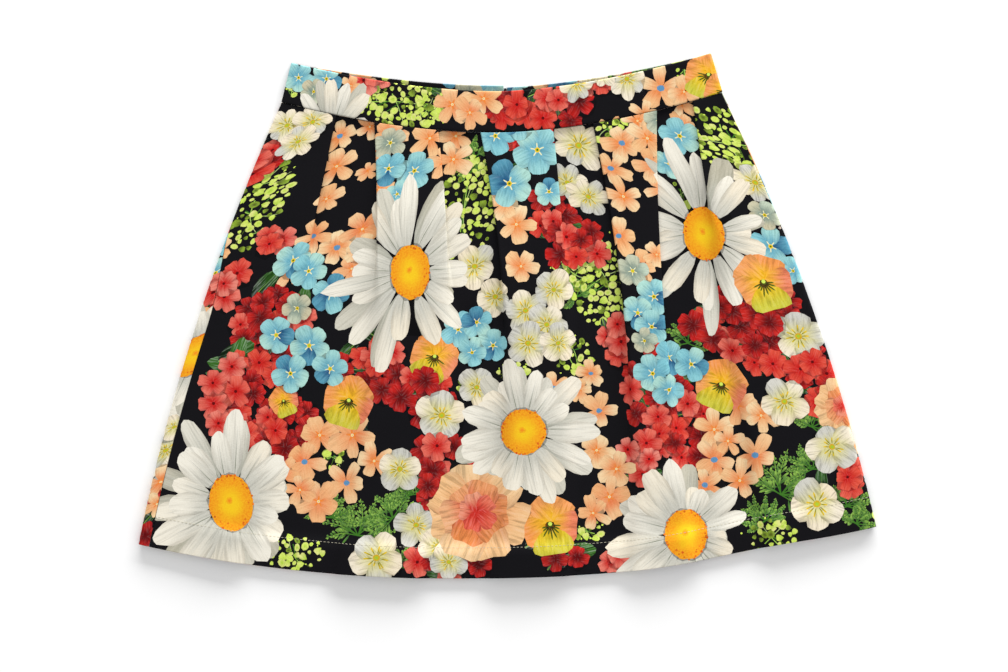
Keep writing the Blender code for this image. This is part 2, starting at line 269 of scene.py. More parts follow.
def fold_columns():
    """The columns of the front's grid that belong to folds, so that cuts can follow them."""
    columns, start = [], len(EDGE_STEPS) + SIDE_STEPS
    for _ in PLEATS:
        start += RUN_STEPS - 1
        columns += list(range(start, start + 2 * FOLD_STEPS + 2))
        start += 2 * FOLD_STEPS + 2
    return columns


# ---------------------------------------------------------------- grids of cloth


def edge_round(distance, wall):
    """The share of the wall that is left at a distance from an edge, along a quarter circle."""
    share = np.clip(distance / wall, 0, 1)
    return np.sqrt(1 - (1 - share) ** 2)


# To find what shows at a place: how far around it points count, and how much their distance lowers them
PLACE_REACH, PLACE_SLOPE = 2.5 * MM, 0.4


class Grid:
    """A cloth piece as a grid: its outer and inner surface, and each point's place in the flat print."""

    def __init__(self, rows, wall_out, wall_in, creases=(), lift=None):
        """rows[i][j] is the (x, y, z) of the wall's middle. The outer side is to the left of a row's way."""
        centre = np.array(rows)
        self.shape = centre.shape[:2]
        steps = np.linalg.norm(np.diff(centre[..., [0, 2]], axis=1), axis=-1)
        self.s = np.concatenate([np.zeros((self.shape[0], 1)), np.cumsum(steps, axis=1)], axis=1)
        middle = self.shape[1] // 2
        way = math.copysign(1, centre[0, -1, 0] - centre[0, 0, 0])
        self.s += (centre[:, middle, 0] * way - self.s[:, middle])[:, None]
        self.t = centre[..., 1].copy()
        if lift is not None:
            centre[..., 2] += lift(centre[..., 0], centre[..., 1])
        along = np.gradient(centre, axis=1)
        outward = np.stack([-along[..., 2], np.zeros(self.shape), along[..., 0]], axis=-1)
        outward /= np.linalg.norm(outward, axis=-1, keepdims=True)
        across = np.minimum(np.abs(self.s - self.s[:, :1]), np.abs(self.s - self.s[:, -1:]))
        down = np.minimum(np.abs(self.t - self.t[:1]), np.abs(self.t - self.t[-1:]))
        wall_out, wall_in = (np.broadcast_to(np.array(w)[:, None], self.shape) for w in (wall_out, wall_in))
        rounding = (edge_round(across, wall_out) * edge_round(down, wall_out))[..., None]
        self.centre = centre
        self.outer = centre + outward * wall_out[..., None] * rounding
        self.inner = centre - outward * wall_in[..., None] * rounding
        self.outer_normal = self.normals(self.outer, outward)
        self.inner_normal = self.normals(self.inner, -outward)
        self.creases = creases

    def normals(self, surface, outward):
        normal = np.cross(np.gradient(surface, axis=1), np.gradient(surface, axis=0))
        normal *= np.sign(np.sum(normal * outward, axis=-1, keepdims=True) + 1e-15)
        length = np.linalg.norm(normal, axis=-1, keepdims=True)
        return np.where(length > 1e-12, normal / np.maximum(length, 1e-12), outward)

    def column_at(self, row, s):
        """The fractional column of s in whole rows."""
        apart = 10.0
        line = (self.s + apart * np.arange(self.shape[0])[:, None]).ravel()
        left = np.searchsorted(line, s + apart * row, side="right") - 1 - row * self.shape[1]
        left = np.clip(left, 0, self.shape[1] - 2)
        start, end = self.s[row, left], self.s[row, left + 1]
        return left + np.clip((s - start) / np.maximum(end - start, 1e-12), 0, 1)

    def height_at(self, row, s):
        column = self.column_at(row, s)
        left = np.minimum(column.astype(int), self.shape[1] - 2)
        part = column - left
        return self.t[row, left] * (1 - part) + self.t[row, left + 1] * part

    def locate(self, s, t):
        """The fractional (row, column) of places in the print. t falls from each row to the next."""
        low = np.zeros(len(s), int)
        high = np.full(len(s), self.shape[0] - 1)
        while (high - low).max() > 1:
            middle = (low + high) // 2
            below = self.height_at(middle, s) >= t
            low = np.where(below, middle, low)
            high = np.where(below, high, middle)
        upper, lower = self.height_at(low, s), self.height_at(low + 1, s)
        share = np.clip((upper - t) / np.maximum(upper - lower, 1e-12), 0, 1)
        column = self.column_at(low, s) * (1 - share) + self.column_at(low + 1, s) * share
        return low + share, column

    def sample(self, table, row, column):
        low = np.clip(row.astype(int), 0, self.shape[0] - 2)
        left = np.clip(column.astype(int), 0, self.shape[1] - 2)
        down, part = (row - low)[:, None], (column - left)[:, None]
        upper = table[low, left] * (1 - part) + table[low, left + 1] * part
        lower = table[low + 1, left] * (1 - part) + table[low + 1, left + 1] * part
        return upper * (1 - down) + lower * down

    def place(self, x, y):
        """The place in the print that shows at (x, y) from above: that of the highest point there."""
        far = np.hypot(self.outer[..., 0] - x, self.outer[..., 1] - y)
        near = far < far.min() + PLACE_REACH
        height = np.where(near, self.outer[..., 2] - PLACE_SLOPE * far, -1)
        i, j = np.unravel_index(height.argmax(), self.shape)
        return self.s[i, j] + (x - self.outer[i, j, 0]), self.t[i, j] + (y - self.outer[i, j, 1])

    def area(self):
        """The area of the flat cut."""
        widths = self.s[:, -1] - self.s[:, 0]
        lengths = -np.diff(self.t.mean(axis=1))
        return float(((widths[:-1] + widths[1:]) / 2 * lengths).sum())

    def size(self):
        return float((self.s[:, -1] - self.s[:, 0]).max()), float(self.t.max() - self.t.min())


def rows_with_edges(step, wall, length):
    """Heights from 0 to 1 with the short steps that round off both edges."""
    edge = [share * wall / length for share in EDGE_STEPS]
    inner = np.linspace(edge[-1], 1 - edge[-1], round(1 / step))
    return edge[:-1] + list(inner) + [1 - share for share in reversed(edge[:-1])]


def skirt_heights():
    return rows_with_edges(SKIRT_ROW_STEP, CLOTH / 2, SKIRT_LENGTH)


def ripple(x, y):
    """Soft unevenness of cloth that has been pressed and laid down, from 0 up."""
    slow = np.sin(x * 31 + 2.1 * np.sin(y * 9 + 0.6)) * np.sin(y * 14 + 1.3 * np.sin(x * 17))
    quick = np.sin(x * 83 + 1.7 * np.sin(y * 23)) * np.sin(y * 39 + 2.3 * np.sin(x * 29 + 1.0))
    return (0.5 + 0.5 * slow) * 0.55 * MM + (0.5 + 0.5 * quick) * 0.16 * MM


# Soft creases and ridges of the front. Each row runs from one end to the other (mm from the centre line and
# above the origin), with its width and height; the height fades at both ends.
CREASE_COLUMNS = ("x0", "y0", "x1", "y1", "width", "height")
CREASES = (
    (-165, 60, -180, -20, 7, 1.3),
    (-25, 42, -32, 5, 5, 1.6),
    (-33, 6, -31, -62, 6, 1.0),
    (-4, 60, -2, 35, 4, 0.9),
    (-112, 80, -118, 10, 8, 0.9),
    (-52, 60, -66, -20, 8, 1.0),
    (50, 100, 55, 30, 7, 0.9),
    (104, -70, 118, -150, 8, 1.3),
    (134, 30, 136, -75, 9, 1.0),
    (168, 150, 175, 100, 5, 0.8),
    (70, 20, 60, -60, 9, 0.8),
    (-100, -60, -128, -140, 10, 0.8),
    (20, -40, 24, -150, 10, 0.7),
    (205, 20, 235, -90, 11, 0.8),
    (-215, 60, -245, -60, 10, 0.7),
)


def front_lift(x, y):
    """How much the front's top layer is lifted by its creases and unevenness."""
    total = ripple(x, y)
    for row in CREASES:
        crease = dict(zip(CREASE_COLUMNS, row))
        start = np.array([crease["x0"], crease["y0"]]) * MM
        end = np.array([crease["x1"], crease["y1"]]) * MM
        run = end - start
        length = np.linalg.norm(run)
        along = ((x - start[0]) * run[0] + (y - start[1]) * run[1]) / length**2
        beside = ((x - start[0]) * run[1] - (y - start[1]) * run[0]) / length / (crease["width"] * MM)
        fade = np.clip(1.15 - np.abs(2 * along - 1) ** 2.5 * 1.15, 0, 1)
        total = total + crease["height"] * MM * np.exp(-(beside**2)) * fade
    fade_at_sides = np.clip((0.93 - np.abs(x) / (0.19 + 0.32 * np.clip(0.19 - y, 0, 0.5))) / 0.12, 0, 1)
    fade_at_waist = np.clip((0.158 + 0.03 * (x / 0.19) ** 2 - y) / 0.02, 0, 1)
    return total * fade_at_sides * fade_at_waist


def body_walls(heights):
    turned = np.array([hem_turn(v) for v in heights])
    return np.full(len(heights), CLOTH / 2), CLOTH / 2 + CLOTH * turned


def front_grid():
    heights = skirt_heights()
    rows = [[(x, body_y(x, v), z) for x, z in front_section(v)] for v in heights]
    return Grid(rows, *body_walls(heights), creases=fold_columns(), lift=front_lift)


def back_grid(side):
    """One half of the back. Its rows run from the right to the left, as the outside faces down."""
    floor, rows = CLOTH / 2, []
    heights = skirt_heights()
    for v in heights:
        middle = CENTRE_BACK_X + side * mix(ZIP_CLEARANCE, SEAM_GAP / 2, smooth(ZIP_END_V, ZIP_CLOSED_V, v))
        radius, edge = mix(*SIDE_ROLL, v), side_x(v, side)
        seam = -side * seam_offset(v) - SEAM_GAP / 2
        flat_end = min(-math.pi * radius / 2, seam) - LAP_RUN
        stretch = seam_stretch(edge, side, radius, floor, seam, flat_end, SIDE_STEPS + 3, CLOTH / 2)
        first = middle + side * CLOTH / 2
        flat = [(middle + side * CLOTH / 2 * share, floor) for share in EDGE_STEPS]
        flat += [(mix(first, stretch[-1][0], step / BACK_STEPS), floor) for step in range(1, BACK_STEPS)]
        points = flat + stretch[::-1]
        if side > 0:
            points.reverse()
        rows.append([(x, body_y(x, v, BACK_RISE), z) for x, z in points])
    return Grid(rows, *body_walls(heights))


def band_heights():
    return rows_with_edges(BAND_ROW_STEP, BAND_CLOTH / 2, BAND_WIDTH)[::-1]


def band_front_grid():
    floor, rows, wall = BAND_CLOTH / 2, [], BAND_CLOTH / 2
    heights = band_heights()
    over = math.pi * BAND_ROLL / 2
    for u in heights:
        half = band_half(u)
        points = seam_stretch(-half, -1, BAND_ROLL, floor, SEAM_GAP / 2, over, SIDE_STEPS, wall)
        stretch = seam_stretch(half, +1, BAND_ROLL, floor, SEAM_GAP / 2, over, SIDE_STEPS, wall)
        points += run_between(points[-1], stretch[-1], BAND_RUN_STEPS) + stretch[::-1]
        rows.append([(x, band_y(x, u), z) for x, z in points])
    walls = np.full(len(heights), wall)
    return Grid(rows, walls, walls)


def band_back_grid(side):
    floor, rows, wall = BAND_CLOTH / 2, [], BAND_CLOTH / 2
    heights = band_heights()
    middle = CENTRE_BACK_X + side * ZIP_CLEARANCE
    step_down = BACK_BAND_STEP if side > 0 else 0.0
    under = -math.pi * BAND_ROLL / 2
    for u in heights:
        half = band_half(u)
        stretch = seam_stretch(side * half, side, BAND_ROLL, floor, -SEAM_GAP / 2, under, SIDE_STEPS, wall)
        first, count = middle + side * wall, BAND_RUN_STEPS // 2
        flat = [(middle + side * wall * share, floor) for share in EDGE_STEPS]
        flat += [(mix(first, stretch[-1][0], step / count), floor) for step in range(1, count)]
        points = flat + stretch[::-1]
        if side > 0:
            points.reverse()
        rows.append([(x, band_y(x, u, BACK_RISE - step_down * u), z) for x, z in points])
    walls = np.full(len(heights), wall)
    return Grid(rows, walls, walls)


# ---------------------------------------------------------------- the print: colours


def rgb(red, green, blue):
    """A colour as it looks on a screen, in linear light."""
    values = np.array([red, green, blue]) / 255
    return np.where(values <= 0.04045, values / 12.92, ((values + 0.055) / 1.055) ** 2.4)


GROUND = rgb(17, 16, 20)
SKY, DEEP_BLUE, MINT = rgb(132, 206, 220), rgb(50, 122, 160), rgb(182, 228, 216)
BLUE_SHADE, STAR = rgb(34, 90, 134), rgb(246, 244, 196)
RED, DARK_RED, CORAL, PINK = rgb(208, 30, 26), rgb(104, 8, 12), rgb(240, 92, 70), rgb(244, 150, 132)
PEACH, APRICOT, PALE_PEACH = rgb(252, 200, 142), rgb(242, 142, 76), rgb(255, 230, 184)
ORANGE, GOLD, MUSTARD = rgb(250, 138, 34), rgb(255, 208, 34), rgb(212, 186, 40)
WHITE, CREAM = rgb(250, 245, 230), rgb(242, 232, 200)
LIME, YELLOW_GREEN, OLIVE = rgb(220, 244, 100), rgb(168, 204, 56), rgb(92, 108, 30)
LEAF, DARK_LEAF, PALE_LEAF = rgb(64, 120, 38), rgb(18, 44, 20), rgb(158, 204, 82)
DOT_BLUE, BROWN = rgb(92, 152, 196), rgb(66, 32, 16)
BEIGE_PETAL, BEIGE_SHADE = rgb(212, 202, 168), rgb(140, 158, 144)
PETAL_GREY, GREY_GREEN = rgb(196, 196, 188), rgb(120, 126, 106)
PRINT_DEPTH = 0.85  # all the print's tones are this share of the ones above


def between(one, other, share):
    return one * (1 - share) + other * share


# ---------------------------------------------------------------- the print: shapes
TURN = 2 * math.pi
PLAIN = (0, 0, 0)  # no streaks, rim or mottling


def around(x, y, way, across, up=None):
    """The place on a circle around (x, y), or on an oval where up is given."""
    return x + across * math.cos(way), y + (across if up is None else up) * math.sin(way)


def placed(x, y, way, along, aside):
    """The place a distance along a way from (x, y), and another to its left."""
    cos, sin = math.cos(way), math.sin(way)
    return x + along * cos - aside * sin, y + along * sin + aside * cos


def anticlockwise(outline):
    x, y = outline.T
    area = np.sum(x * np.roll(y, -1) - y * np.roll(x, -1))
    return outline if area > 0 else outline[::-1]


class Shape:
    """One printed shape: a petal, leaf, disc or shadow, with its own coordinates and colours."""

    def __init__(self, outline, origin, axis_u, axis_v, tones, grain=PLAIN, seed=0.0, is_round=False):
        self.outline = anticlockwise(np.array(outline))
        self.low, self.high = self.outline.min(axis=0), self.outline.max(axis=0)
        self.origin = np.array(origin)
        self.axis_u, self.axis_v = np.array(axis_u), np.array(axis_v)
        self.tones = tones
        self.grain = grain  # streaks along it, light or dark rim, mottling
        self.seed = seed
        self.is_round = is_round
        self.shade = None  # a shadow has a number here: how much it darkens what is below it

    def contains(self, points):
        """Which of the points lie inside the outline."""
        inside = np.zeros(len(points), bool)
        x, y = points[:, 0], points[:, 1]
        for (x1, y1), (x2, y2) in zip(self.outline, np.roll(self.outline, -1, axis=0)):
            if y1 == y2:
                continue
            crossing = x1 + (y - y1) / (y2 - y1) * (x2 - x1)
            inside ^= ((y1 > y) != (y2 > y)) & (x < crossing)
        return inside


# The forms of the petals. skew under 1 puts the widest part near the tip, sharp over 1 makes both ends
# pointed, points is the number on each side, notch cuts in the tip, and wobble makes the outline uneven.
PETAL_COLUMNS = ("grain", "skew", "sharp", "points", "notch", "wobble")
PETALS = {
    "forget_me_not": ((0.1, 0.2, 0), 0.62, 0.78, 6, 0.0, 0.04),
    "geranium": ((0.09, 0.3, 0), 0.55, 0.75, 5, 0.08, 0.08),
    "phlox": ((0.07, 0.14, 0), 0.6, 0.85, 6, 0.06, 0.1),
    "pansy": ((0.14, 0.16, 0), 0.5, 0.72, 6, 0.04, 0.06),
    "hellebore": ((0.16, -0.34, 0), 0.72, 0.95, 6, 0.0, 0.07),
    "bloom": ((0.16, 0.2, 0), 0.55, 0.7, 7, 0.1, 0.12),
    "daisy": ((0.09, -0.26, 0), 0.74, 1.0, 8, 0.0, 0.05),
    "lime": ((0.12, 0.2, 0), 0.6, 0.8, 4, 0.06, 0.05),
    "fern": ((0.2, 0, 0), 0.7, 1.0, 3, 0.0, 0.05),
    "leaf": ((0.35, -0.15, 0), 0.95, 1.1, 6, 0.0, 0.04),
    "line": (PLAIN, 1.0, 1.0, 3, 0.0, 0.05),
}


def petal(rng, at, way, length, width, tones, kind, start=0.0, **own):
    """A petal of a kind, with changes of its own, that starts at a distance from a place."""
    form = dict(zip(PETAL_COLUMNS, PETALS[kind])) | own
    points, notch, wobble = form["points"], form["notch"], form["wobble"]
    forward = np.array([math.cos(way), math.sin(way)])
    sideways = np.array([-forward[1], forward[0]])
    foot = np.array(at) + forward * start
    outline = []
    for side, turns in ((1, range(points + 1)), (-1, range(points - 1, 0, -1))):
        for k in turns:
            angle = math.pi * k / points
            u = ((1 - math.cos(angle)) / 2) ** form["skew"]
            u *= 1 - notch * math.exp(-(((math.pi - angle) / 0.4) ** 2))
            w = math.sin(angle) ** form["sharp"] * (1 + wobble * rng.uniform(-1, 1))
            ahead = forward * length * (u + wobble * 0.4 * rng.uniform(-1, 1))
            outline.append(foot + ahead + sideways * side * w * width / 2)
    axes = forward / length, sideways / (width / 2)
    return Shape(outline, foot, *axes, tones, form["grain"], rng.uniform(0, 1))


def disc(rng, at, across, up, tones, grain, points=12, wobble=0.0, turn=0.0):
    """A round or oval patch; its coordinates run from -1 to 1 both ways."""
    outline = []
    for k in range(points):
        angle = TURN * k / points
        reach = 1 + wobble * rng.uniform(-1, 1)
        along, aside = across * reach * math.cos(angle), up * reach * math.sin(angle)
        outline.append(np.array(placed(*at, turn, along, aside)))
    cos, sin = math.cos(turn), math.sin(turn)
    axes = (cos / across, sin / across), (-sin / up, cos / up)
    return Shape(outline, at, *axes, tones, grain, rng.uniform(0, 1), is_round=True)


def dot(rng, at, radius, colour, points=6, up=None):
    return disc(rng, at, radius, radius if up is None else up, (colour, colour), PLAIN, points)


def shadow(rng, at, across, up, strength, points=10):
    """A soft dark patch under a flower, down and to the right of it."""
    shape = disc(rng, (at[0] + 0.6 * MM, at[1] - 1.4 * MM), across, up, (GROUND, GROUND), PLAIN, points, 0.12)
    shape.shade = strength
    return shape


def stem(rng, start, end, bow, width, tones, points=7):
    """A thin curved stem, as one narrow outline."""
    start, end = np.array(start), np.array(end)
    run = end - start
    sideways = np.array([-run[1], run[0]]) / np.linalg.norm(run)
    steps = range(points + 1)
    line = [start + run * k / points + sideways * bow * math.sin(math.pi * k / points) for k in steps]
    thin = [width * (1 - 0.6 * k / points) for k in steps]
    one = [p + sideways * w / 2 for p, w in zip(line, thin)]
    other = [p - sideways * w / 2 for p, w in zip(line, thin)]
    axes = run / (run @ run), sideways / width
    return Shape(one + other[::-1], start, *axes, tones, PLAIN, rng.uniform(0, 1))


def ring(rng, turn, count, sway):
    """The ways in which a round of petals points, in painting order."""
    for k in rng.permutation(count):
        yield turn + k * TURN / count + rng.uniform(-sway, sway)


def roomiest(rng, x, y, wide, tall, tries, taken):
    """The chance place in an oval that is farthest from those taken, and how far. It is then taken."""
    best, best_gap = None, -1.0
    for _ in range(tries):
        away, way = math.sqrt(rng.uniform(0, 1)), rng.uniform(0, TURN)
        at = around(x, y, way, wide * away, tall * away)
        gap = min([math.dist(at, p) for p in taken] or [1.0])
        if gap > best_gap:
            best, best_gap = at, gap
    taken.append(best)
    return best, best_gap


# ---------------------------------------------------------------- the print: flowers


def forget_me_not(rng, x, y, size, mood="blue"):
    turn = rng.uniform(0, TURN)
    size *= 0.89
    shapes = [shadow(rng, (x, y), size * 0.9, size * 0.9, 0.5)]
    for way in ring(rng, turn, 5, 0.08):
        roll = rng.uniform(0, 1)
        if mood == "beige":
            tones = (BEIGE_SHADE, between(BEIGE_PETAL, MINT, roll * 0.5))
        elif roll < 0.15:
            tones = (BLUE_SHADE, between(DEEP_BLUE, SKY, 0.35))
        elif roll < 0.45:
            tones = (between(SKY, DEEP_BLUE, 0.35), MINT)
        else:
            tones = (between(SKY, DEEP_BLUE, 0.45), between(SKY, MINT, 1.3 * (roll - 0.45)))
        wide, long = size * rng.uniform(0.78, 0.92), size * rng.uniform(0.9, 1.04)
        shapes.append(petal(rng, (x, y), way, long, wide, tones, "forget_me_not"))
    for k in range(5):
        way, start = turn + (k + 0.5) * TURN / 5, size * 0.06
        shapes.append(petal(rng, (x, y), way, size * 0.24, size * 0.06, (STAR, STAR), "line", start))
    shapes.append(disc(rng, (x, y), size * 0.11, size * 0.11, (YELLOW_GREEN, GOLD), PLAIN, 8))
    shapes.append(dot(rng, (x, y), size * 0.05, OLIVE))
    return shapes


def geranium(rng, x, y, size, mood="red"):
    turn = rng.uniform(0, TURN)
    shapes = [shadow(rng, (x, y), size * 0.95, size * 0.9, 0.4, 8)]
    roll = rng.uniform(0, 1)
    if mood == "pink":
        inner, outer = RED, between(CORAL, PINK, roll)
    elif roll < 0.5:
        inner, outer = DARK_RED, between(RED, CORAL, 0.25 * roll)
    elif roll < 0.8:
        inner, outer = RED, between(RED, CORAL, 0.8)
    else:
        inner, outer = RED, between(CORAL, PINK, 0.4)
    squash = rng.uniform(0.72, 1.0)
    tilt = rng.uniform(0, math.pi)
    for way in ring(rng, turn, 5, 0.15):
        reach = size * rng.uniform(0.85, 1.05) * mix(squash, 1.0, abs(math.cos(way - tilt)))
        tones = (inner, between(outer, inner, rng.uniform(0, 0.35)))
        shapes.append(petal(rng, (x, y), way, reach, size * 0.78, tones, "geranium"))
    shapes.append(dot(rng, (x, y), size * 0.1, DARK_RED))
    return shapes


def phlox(rng, x, y, size, mood="plain"):
    """A peach flower with five narrow, uneven petals."""
    turn = rng.uniform(0, TURN)
    warm = rng.uniform(0, 1) ** 2
    shapes = [shadow(rng, (x, y), size * 0.7, size * 0.7, 0.5, 8)]
    for way in ring(rng, turn, 5, 0.14):
        inner = between(between(APRICOT, CORAL, 0.35 * warm), PEACH, rng.uniform(0, 0.6))
        outer = between(PEACH, APRICOT, 0.4 * warm)
        outer = between(outer, PALE_PEACH, rng.uniform(0, 0.9) * (1 - 0.5 * warm))
        wide, long = size * rng.uniform(0.5, 0.82), size * rng.uniform(0.84, 1.16)
        shapes.append(petal(rng, (x, y), way, long, wide, (inner, outer), "phlox"))
    if mood == "blue":
        shapes.append(disc(rng, (x, y), size * 0.17, size * 0.14, (DOT_BLUE, DOT_BLUE), (0, 0, 0.2), 7, 0.15))
        return shapes
    for k in range(5):
        way = turn + (k + 0.5) * TURN / 5
        shapes.append(petal(rng, (x, y), way, size * 0.28, size * 0.09, (ORANGE, APRICOT), "line"))
    shapes.append(disc(rng, (x, y), size * 0.07, size * 0.07, (GOLD, CREAM), PLAIN, 6))
    return shapes


# A pansy's petals: the way of each from the lowest one, its length and width as shares, and its colour
PANSY_PETALS = (
    (2.55, 0.95, 1.1, ORANGE), (-2.55, 0.95, 1.1, ORANGE), (1.35, 0.92, 1.05, CORAL),
    (-1.35, 0.92, 1.05, ORANGE), (0.0, 0.98, 1.35, MUSTARD),
)


def pansy(rng, x, y, size):
    """An orange and yellow pansy with dark lines at its heart."""
    base = rng.uniform(-0.5, 0.5) - math.pi / 2
    shapes = [shadow(rng, (x, y), size * 0.9, size * 0.9, 0.45)]
    for way, reach, wide, colour in PANSY_PETALS:
        tip = LIME if colour is MUSTARD else PEACH
        tones = (between(colour, GOLD, 0.7), between(colour, tip, 0.25 + 0.2 * rng.uniform(0, 1)))
        shapes.append(petal(rng, (x, y), base + way, size * reach, size * wide, tones, "pansy"))
    for k in range(9):
        way, long = base + (k - 4) * 0.34, size * rng.uniform(0.3, 0.5)
        shapes.append(petal(rng, (x, y), way, long, size * 0.06, (BROWN, OLIVE), "line", skew=0.8))
    shapes.append(disc(rng, (x, y), size * 0.15, size * 0.12, (OLIVE, DARK_LEAF), (0, 0, 0.3), 8, 0.15))
    shapes.append(dot(rng, (x, y + size * 0.04), size * 0.07, LIME))
    return shapes


def hellebore(rng, x, y, size, mood="plain"):
    """A white flower with broad petals and a yellow-green heart."""
    turn = rng.uniform(0, TURN)
    count, broad = (5, 0.9) if mood == "plain" else (7, 0.64)
    shapes = [shadow(rng, (x, y), size * 0.9, size * 0.9, 0.45)]
    squash, tilt = rng.uniform(0.75, 1.0), rng.uniform(0, math.pi)
    for way in ring(rng, turn, count, 0.1):
        reach = size * rng.uniform(0.9, 1.12) * mix(squash, 1.0, abs(math.cos(way - tilt)))
        roll = rng.uniform(0, 1)
        outer = between(WHITE, PALE_PEACH if roll < 0.5 else PETAL_GREY, 0.3 + 0.5 * roll)
        inner = between(between(CREAM, GOLD, 0.3), YELLOW_GREEN, 0.3)
        wide = size * broad * rng.uniform(0.88, 1.08)
        shapes.append(petal(rng, (x, y), way, reach, wide, (inner, outer), "hellebore"))
    for k in range(11):
        way = turn + k * TURN / 11 + rng.uniform(-0.2, 0.2)
        tones = (OLIVE, between(MUSTARD, GOLD, rng.uniform(0, 1)))
        long, start = size * rng.uniform(0.2, 0.4), size * 0.1
        shapes.append(petal(rng, (x, y), way, long, size * 0.06, tones, "line", start, skew=0.5))
    shapes.append(disc(rng, (x, y), size * 0.13, size * 0.12, (YELLOW_GREEN, MUSTARD), (0, 0, 0.5), 8, 0.1))
    return shapes


def bloom(rng, x, y, size):
    """A large peach flower with ruffled petals in three rounds."""
    shapes = [shadow(rng, (x, y), size * 0.95, size * 0.95, 0.45, 12)]
    rounds = ((7, 1.0, 0.85, APRICOT, PEACH), (6, 0.66, 0.62, CORAL, APRICOT), (5, 0.38, 0.36, RED, CORAL))
    for count, reach, wide, inner, outer in rounds:
        for way in ring(rng, rng.uniform(0, TURN), count, 0.15):
            long = size * reach * rng.uniform(0.85, 1.1)
            tones = (between(inner, outer, 0.2), between(outer, PALE_PEACH, rng.uniform(0, 0.4)))
            shapes.append(petal(rng, (x, y), way, long, size * wide, tones, "bloom"))
    return shapes


DAISY_COLUMNS = ("share", "tall", "count", "lean", "stretch", "bias")


def daisy_petal(rng, x, y, size, form, way, grey):
    """One white petal of a daisy, which may have a grey line along it. grey is 0 for a petal in front."""
    across, tall, lean = size * form["share"], form["tall"], form["lean"]
    rim = across * 0.8 * math.hypot(math.cos(way - lean), math.sin(way - lean) * tall)
    reach = size * math.hypot(math.cos(way), math.sin(way) * form["stretch"])
    reach *= 1 - form["bias"] * math.cos(way)
    long = reach * rng.uniform(0.72, 1.14) - rim
    wide = size * rng.uniform(0.24, 0.36)
    roll = rng.uniform(0, 1)
    outer = between(between(WHITE, PALE_PEACH, 0.35 * roll**2), GREY_GREEN, grey * (0.2 + 0.5 * roll))
    inner = between(between(WHITE, PETAL_GREY, 0.5), GREY_GREEN, 0.2 + 0.35 * grey)
    foot, tip = around(x, y, way, rim), rng.uniform(0.8, 1.4)
    shapes = [petal(rng, foot, way, long, wide, (inner, outer), "daisy", sharp=tip, notch=0.07 * roll**2)]
    if rng.uniform(0, 1) < 0.6:
        place = placed(*foot, way, 0.0, rng.uniform(-0.16, 0.16) * wide)
        tones = (GREY_GREEN, between(outer, PETAL_GREY, 0.6))
        shapes.append(petal(rng, place, way + rng.uniform(-0.02, 0.02), long * 0.8, 0.8 * MM, tones, "line"))
    return shapes


def daisy(rng, x, y, size, mood):
    """A large daisy. mood gives its disc's share of its size, how tall the disc is, how many petals it has,
    the disc's lean, how tall the flower is, and how much farther it reaches to the left than to the right."""
    form = dict(zip(DAISY_COLUMNS, mood))
    tall, count, lean = form["tall"], form["count"], form["lean"]
    shapes = [shadow(rng, (x, y), size * 0.62, size * 0.62 * tall, 0.6, 16)]
    for grey, many in ((0.8, count // 2 + 1), (0.0, count)):
        for way in ring(rng, rng.uniform(0, 1), many, 0.15):
            shapes += daisy_petal(rng, x, y, size, form, way, grey)
    across, up = size * form["share"], size * form["share"] * tall
    shapes.append(disc(rng, (x, y), across * 1.06, up * 1.05, (GROUND, GROUND), PLAIN, 30, 0.06, lean))
    shapes[-1].shade = 0.5
    tones = (GOLD, between(GOLD, ORANGE, 0.55))
    shapes.append(disc(rng, (x, y), across, up, tones, (0, 0, 0.5), 44, 0.03, lean))
    for _ in range(46):
        way = rng.uniform(0, TURN)
        away = 1.0 - 0.16 * rng.uniform(0, 1) ** 2 * (1.6 if math.sin(way) < 0 else 0.8)
        place = placed(x, y, lean, across * away * math.cos(way), up * away * math.sin(way))
        grain = across * rng.uniform(0.035, 0.065)
        tone = between(ORANGE, RED, 0.6 * rng.uniform(0, 1) ** 2) * rng.uniform(0.75, 1.0)
        shapes.append(dot(rng, place, grain, tone, 5))
    middle = (x - across * 0.06, y + up * 0.08)
    tones = (between(GOLD, ORANGE, 0.9), between(GOLD, ORANGE, 0.25))
    shapes.append(disc(rng, middle, across * 0.17, up * 0.14, tones, (0, 0, 0.3), 9, 0.2))
    return shapes


LIME_LEAVES_APART = 6.0 * MM


